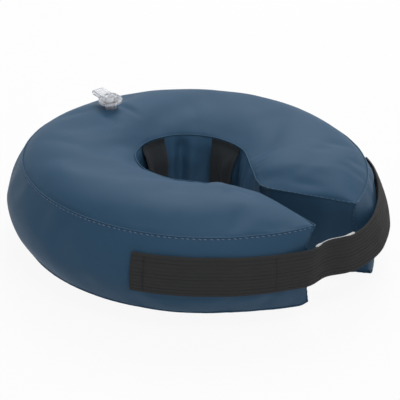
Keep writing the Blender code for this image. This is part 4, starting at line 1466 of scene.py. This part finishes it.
# %% [markdown]
# ## Touch tapes
# The strap holds by a pale hook tape behind its free end, which grips a dark fleecy loop tape on the right
# arm. The hook tape's top edge peeps over the strap in a wavy line where it spans the slit. Single hooks
# would be far too many, so a fine uneven face and a coarse weave stand for them, and a rougher face makes
# the fleece.

# %% Hook tape
HOOK_START, HOOK_SHORT = math.radians(256.5), 0.006
HOOK_LOW, HOOK_TOP, HOOK_THICK, HOOK_BEHIND = -0.0095, 0.0130, 0.0010, -0.0002
HOOK_ROUGH_SIZE, HOOK_ROUGH_DEEP, TAPE_SEED = 0.0009, 0.00012, 9


def tape_sheet(name, angles, rows, face, material, thick, rough_size, rough_deep):
    """Strip of tape: face(angles, share) gives the points of one row along it."""
    points = np.stack([face(angles, row) for row in rows], axis=1)
    normal = normals_facing(points, middle(points) * PLAN)
    points = points + normal * (rough_deep * uneven_field(points, rough_size, TAPE_SEED))[..., None]
    return cloth_sheet(name, points, normal, grid_lengths(points), thick, material)


def hook_face(angles, share):
    height = STRAP_HEIGHT + strap_sag(angles) + HOOK_LOW + (HOOK_TOP - HOOK_LOW) * share
    return strap_face(angles, height, HOOK_BEHIND)


hook_tape = tape_sheet("tape_hook", np.linspace(HOOK_START, STRAP_END - HOOK_SHORT, 180),
                       np.linspace(0.0, 1.0, 40), hook_face, hook_cloth, HOOK_THICK,
                       HOOK_ROUGH_SIZE, HOOK_ROUGH_DEEP)
start, end = fold_zone(STRAP_KNEE, KNEE_HALF, KNEE_HALF)
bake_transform(hook_tape)
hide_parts("hook_tape_bridge", "hook_tape_tail")
print("hook tape", round((HOOK_TOP - HOOK_LOW) * 1000, 1), "mm wide")

# %% Edge of the hook tape
CURL_MARKS = [258.2, 259.0, 260.4, 261.6, 268.0, 270.4, 271.6, 273.7, 274.4]
CURL_ROUND = np.array([0.3, 1.15, 0.95, 0.40, 0.32, 0.40, 1.0, 1.15, 0.3]) * MM
CURL_RISE, CURL_OUT, CURL_STEP, CURL_FLAT = 0.0002, 0.0003, 0.0005, 0.8


def hook_edge():
    """White selvedge of the hook tape, curled over the strap's top edge where it spans the slit."""
    angles = np.radians(np.linspace(CURL_MARKS[0], CURL_MARKS[-1], 90))
    heights = STRAP_HEIGHT + strap_sag(angles) + 0.5 * STRAP_WIDTH + CURL_RISE
    points, run = resample(strap_face(angles, heights, CURL_OUT), CURL_STEP)
    _, out, side = path_frames(points, np.tile(UP, (len(points), 1)))
    thick = np.interp(np.linspace(CURL_MARKS[0], CURL_MARKS[-1], len(points)), CURL_MARKS, CURL_ROUND)
    ring = np.stack((CURL_FLAT * np.cos(circle(12)), np.sin(circle(12))), axis=-1)
    return sweep("tape_hook_edge", points, out, side, lambda k: thick[k] * ring, run, hook_cloth)


curl = hook_edge()
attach(curl, "strap_bridge")
print("hook tape edge from", CURL_MARKS[0], "to", CURL_MARKS[-1], "degrees")

# %% Loop tape
PILE_START, PILE_END = math.radians(303.0), math.radians(331.0)
PILE_WIDTH, PILE_LOWER, PILE_OUT, PILE_THICK = 0.026, 0.0020, 0.0014, 0.0013
PILE_ROUGH_SIZE, PILE_ROUGH_DEEP = 0.0011, 0.00030


def loop_face(angles, share):
    height = STRAP_HEIGHT - PILE_LOWER + (share - 0.5) * PILE_WIDTH
    reach = rim_wall(angles - math.tau, (height - BOTTOM_SEAM) / WALL_HEIGHT) + PILE_OUT
    return np.stack((reach * np.cos(angles), reach * np.sin(angles), np.full_like(angles, height)), axis=-1)


loop_tape = tape_sheet("tape_loop", np.linspace(PILE_START, PILE_END, 110), np.linspace(0.0, 1.0, 44),
                       loop_face, pile_cloth, PILE_THICK, PILE_ROUGH_SIZE, PILE_ROUGH_DEEP)
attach(loop_tape, "ring_body")
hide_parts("loop_tape")
print("loop tape", round(PILE_WIDTH * 1000, 1), "mm wide")

# %% [markdown]
# ## Air valve
# A clear soft vinyl valve stands in the top panel at the back: a neck, a wide disc, and a plug on a folded
# tether. Boxes and cylinders would have hard edges, so lathed sections with rounded corners give the shiny
# rims that clear vinyl shows. The tether is a flat strip swept round its fold.

# %% Clear vinyl
VINYL_TONE, VINYL_SWING, VINYL_IOR = {"Strength": 0.04, "Cloud Size": 120.0}, 0.08, 1.47


def vinyl_material(name, colour, rough, clear):
    """Smooth vinyl with a slightly uneven gloss; clear is how much light goes through."""
    material = bpy.data.materials.new(name)
    material.use_nodes = True
    tree = material.node_tree
    shader = tree.nodes["Principled BSDF"]
    uneven = place_group(tree, TONE, {"Color": (*colour, 1.0), **VINYL_TONE})
    tree.links.new(uneven.outputs["Color"], shader.inputs["Base Color"])
    swing_roughness(tree, uneven, rough, VINYL_SWING)
    shader.inputs["Transmission Weight"].default_value = clear
    shader.inputs["IOR"].default_value = VINYL_IOR
    return material


clear_vinyl = vinyl_material("clear_vinyl_soft", (0.93, 0.94, 0.97), 0.10, 0.80)
bladder_vinyl = vinyl_material("bladder_vinyl_skin", (0.42, 0.45, 0.48), 0.35, 0.0)
for node in ("valve_flange", "valve_flap"):
    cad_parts[node].data.materials.clear()
    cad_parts[node].data.materials.append(clear_vinyl)
print("vinyl", clear_vinyl.name, bladder_vinyl.name)

# %% Lathe
VALVE_TILT = math.radians(-6.0)
VALVE_PLACE = Matrix.Translation(VALVE_BASE) @ Matrix.Rotation(VALVE_TILT, 4, "Y")
VALVE_ROUND, CORNER_SHARE, ON_AXIS = 0.0006, 0.42, 1e-6


def round_outline(corners, steps=5):
    """Round the corners of a closed outline, each by no more than a share of its shorter side."""
    corners = [np.array(c, float) for c in corners]
    made = []
    for k, here in enumerate(corners):
        if here[0] < ON_AXIS:
            made.append(here)
            continue
        before, after = corners[k - 1] - here, corners[(k + 1) % len(corners)] - here
        sides = np.linalg.norm(before), np.linalg.norm(after)
        reach = min(VALVE_ROUND, CORNER_SHARE * min(sides))
        a, b = here + before / sides[0] * reach, here + after / sides[1] * reach
        for s in np.linspace(0.0, 1.0, steps):
            made.append((1 - s) ** 2 * a + 2 * s * (1 - s) * here + s * s * b)
    return made


def lathe(name, outline, material, steps=64):
    """Turn a closed outline of (radius, height) points round the valve's axis."""
    bm = bmesh.new()
    rings = []
    for radius, height in outline:
        if radius < ON_AXIS:
            rings.append([bm.verts.new((0.0, 0.0, height))] * steps)
            continue
        rings.append([bm.verts.new((radius * math.cos(a), radius * math.sin(a), height))
                      for a in (math.tau * k / steps for k in range(steps))])
    for i, ring in enumerate(rings):
        after = rings[(i + 1) % len(rings)]
        for k in range(steps):
            n = (k + 1) % steps
            corners = list(dict.fromkeys((ring[k], ring[n], after[n], after[k])))
            if len(corners) > 2:
                bm.faces.new(corners)
    bmesh.ops.recalc_face_normals(bm, faces=bm.faces)
    bm.transform(VALVE_PLACE)
    mesh = bpy.data.meshes.new(name)
    bm.to_mesh(mesh)
    bm.free()
    mesh.polygons.foreach_set("use_smooth", [True] * len(mesh.polygons))
    return add_piece(name, mesh, material)


print("valve stands at", tuple(round(c, 4) for c in VALVE_PLACE.translation))

# %% Stem and plug
STEM_RADIUS, STEM_BORE, STEM_RISE, STEM_DEPTH, STEM_FILLET = 0.0050, 0.0034, 0.0052, 0.0120, 0.0016
DISC_RADIUS, DISC_THICK = 0.0098, 0.0016
DECK = STEM_RISE + DISC_THICK
PLUG_RADIUS, PLUG_THICK, PLUG_SHAFT, PLUG_DEPTH, PLUG_DISH = 0.0060, 0.0032, 0.0030, 0.0042, 0.0009
PLUG_BASE = DECK + 0.0003
CAP = PLUG_BASE + PLUG_THICK

stem_outline = [
    # seat of the plug, the disc's raised rim, the disc's edge, the neck down into the bladder
    (STEM_BORE, DECK - 0.0002), (STEM_BORE + 0.0016, DECK - 0.0002), (STEM_BORE + 0.0019, DECK),
    (DISC_RADIUS - 0.0016, DECK - 0.0001), (DISC_RADIUS - 0.0009, DECK + 0.0005),
    (DISC_RADIUS, DECK + 0.0003), (DISC_RADIUS, STEM_RISE), (STEM_RADIUS + STEM_FILLET, STEM_RISE),
    (STEM_RADIUS, STEM_RISE - 0.0020), (STEM_RADIUS, -STEM_DEPTH), (STEM_BORE, -STEM_DEPTH),
]
plug_outline = [
    # the tapered shaft, then the cap with its dished top
    (0.0, DECK - PLUG_DEPTH), (PLUG_SHAFT - 0.0007, DECK - PLUG_DEPTH), (PLUG_SHAFT, DECK),
    (PLUG_SHAFT, PLUG_BASE), (PLUG_RADIUS, PLUG_BASE), (PLUG_RADIUS, CAP), (PLUG_RADIUS - 0.0016, CAP),
    (PLUG_RADIUS - 0.0022, CAP - PLUG_DISH), (0.0, CAP - PLUG_DISH),
]
stem = lathe("vinyl_valve_stem", round_outline(stem_outline), clear_vinyl)
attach(stem, "valve_stem")
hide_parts("valve_stem")
plug = lathe("vinyl_valve_plug", round_outline(plug_outline), clear_vinyl)
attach(plug, "valve_plug")
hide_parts("valve_plug")
print("valve pieces", stem.name, plug.name)

# %% Tether
TETHER_WIDTH, TETHER_THICK, TETHER_REACH, TETHER_ROOT = 0.0100, 0.0012, 0.0180, 0.0004
TETHER_ANGLE, TETHER_STEP, TETHER_SQUARE, FOLD_SHARE = math.radians(77.0), 0.0007, 0.35, 0.9
TETHER_LOW, TETHER_HIGH = STEM_RISE + 0.5 * DISC_THICK, PLUG_BASE + 0.5 * PLUG_THICK
FOLD_MIDDLE, FOLD_ROUND = 0.5 * (TETHER_LOW + TETHER_HIGH), 0.5 * (TETHER_HIGH - TETHER_LOW)
TETHER_OUT = np.array([math.cos(TETHER_ANGLE), math.sin(TETHER_ANGLE), 0.0])


def squared(wave):
    """Sine or cosine pushed out towards a square, for a strip with soft edges."""
    return np.sign(wave) * np.abs(wave) ** TETHER_SQUARE


def tether():
    """Flat strip from the disc out to its fold and back over to the plug."""
    path = [(DISC_RADIUS - TETHER_ROOT, TETHER_LOW), (0.5 * (DISC_RADIUS + TETHER_REACH), TETHER_LOW)]
    path += [(TETHER_REACH + FOLD_ROUND * math.sin(a), FOLD_MIDDLE - FOLD_ROUND * math.cos(a))
             for a in np.linspace(0.0, math.pi, 17)]
    path += [(0.5 * (PLUG_RADIUS + TETHER_REACH), TETHER_HIGH), (PLUG_RADIUS - TETHER_ROOT, TETHER_HIGH)]
    line = np.array([TETHER_OUT * reach + UP * height for reach, height in path])
    points, run = resample(line, TETHER_STEP)
    across = np.array([-TETHER_OUT[1], TETHER_OUT[0], 0.0])
    _, face, side = path_frames(points, np.cross(across, np.gradient(points, axis=0)))
    turns = circle(24)
    section = np.stack((0.5 * TETHER_THICK * squared(np.cos(turns)),
                        0.5 * TETHER_WIDTH * squared(np.sin(turns))), axis=-1)
    piece = sweep("vinyl_valve_tether", points, face, side, lambda k: section, run, clear_vinyl)
    piece.data.transform(VALVE_PLACE)
    return piece


strip = tether()
edge = TETHER_REACH + FOLD_ROUND + 0.5 * TETHER_THICK
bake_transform(strip)
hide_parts("valve_tether_stem", "valve_tether_plug")

# %% [markdown]
# ## Air bladder
# Inside the cover is a plain vinyl tube that holds the air. It is hidden, so it needs no simulation of its
# own: it is the smooth domed shape moved in by a few millimetres, drawn coarser than the cloth and closed at
# its ends.

# %% Air bladder
BLADDER_INSET, BLADDER_END = 0.00625, 0.03
BLADDER_LONG, BLADDER_WIDE, BLADDER_TALL = 121, 13, 9


def bladder_part(part):
    t = along_ring(BLADDER_LONG)
    t = t[(t > BLADDER_END) & (t < 1.0 - BLADDER_END)]
    loop, _ = tube_loop(t[halves(t)[part]], BLADDER_WIDE, BLADDER_TALL)
    centre = loop.mean(axis=1, keepdims=True)
    size = np.linalg.norm(loop - centre, axis=-1, keepdims=True)
    loop = centre + (loop - centre) * (1.0 - BLADDER_INSET / size)
    faces = tube_faces(*loop.shape[:2])
    return mesh_piece("vinyl_bladder_" + part, bladder_vinyl, loop.reshape(-1, 3), faces)


place_split(bladder_part, "bladder")
print("bladder in two parts")
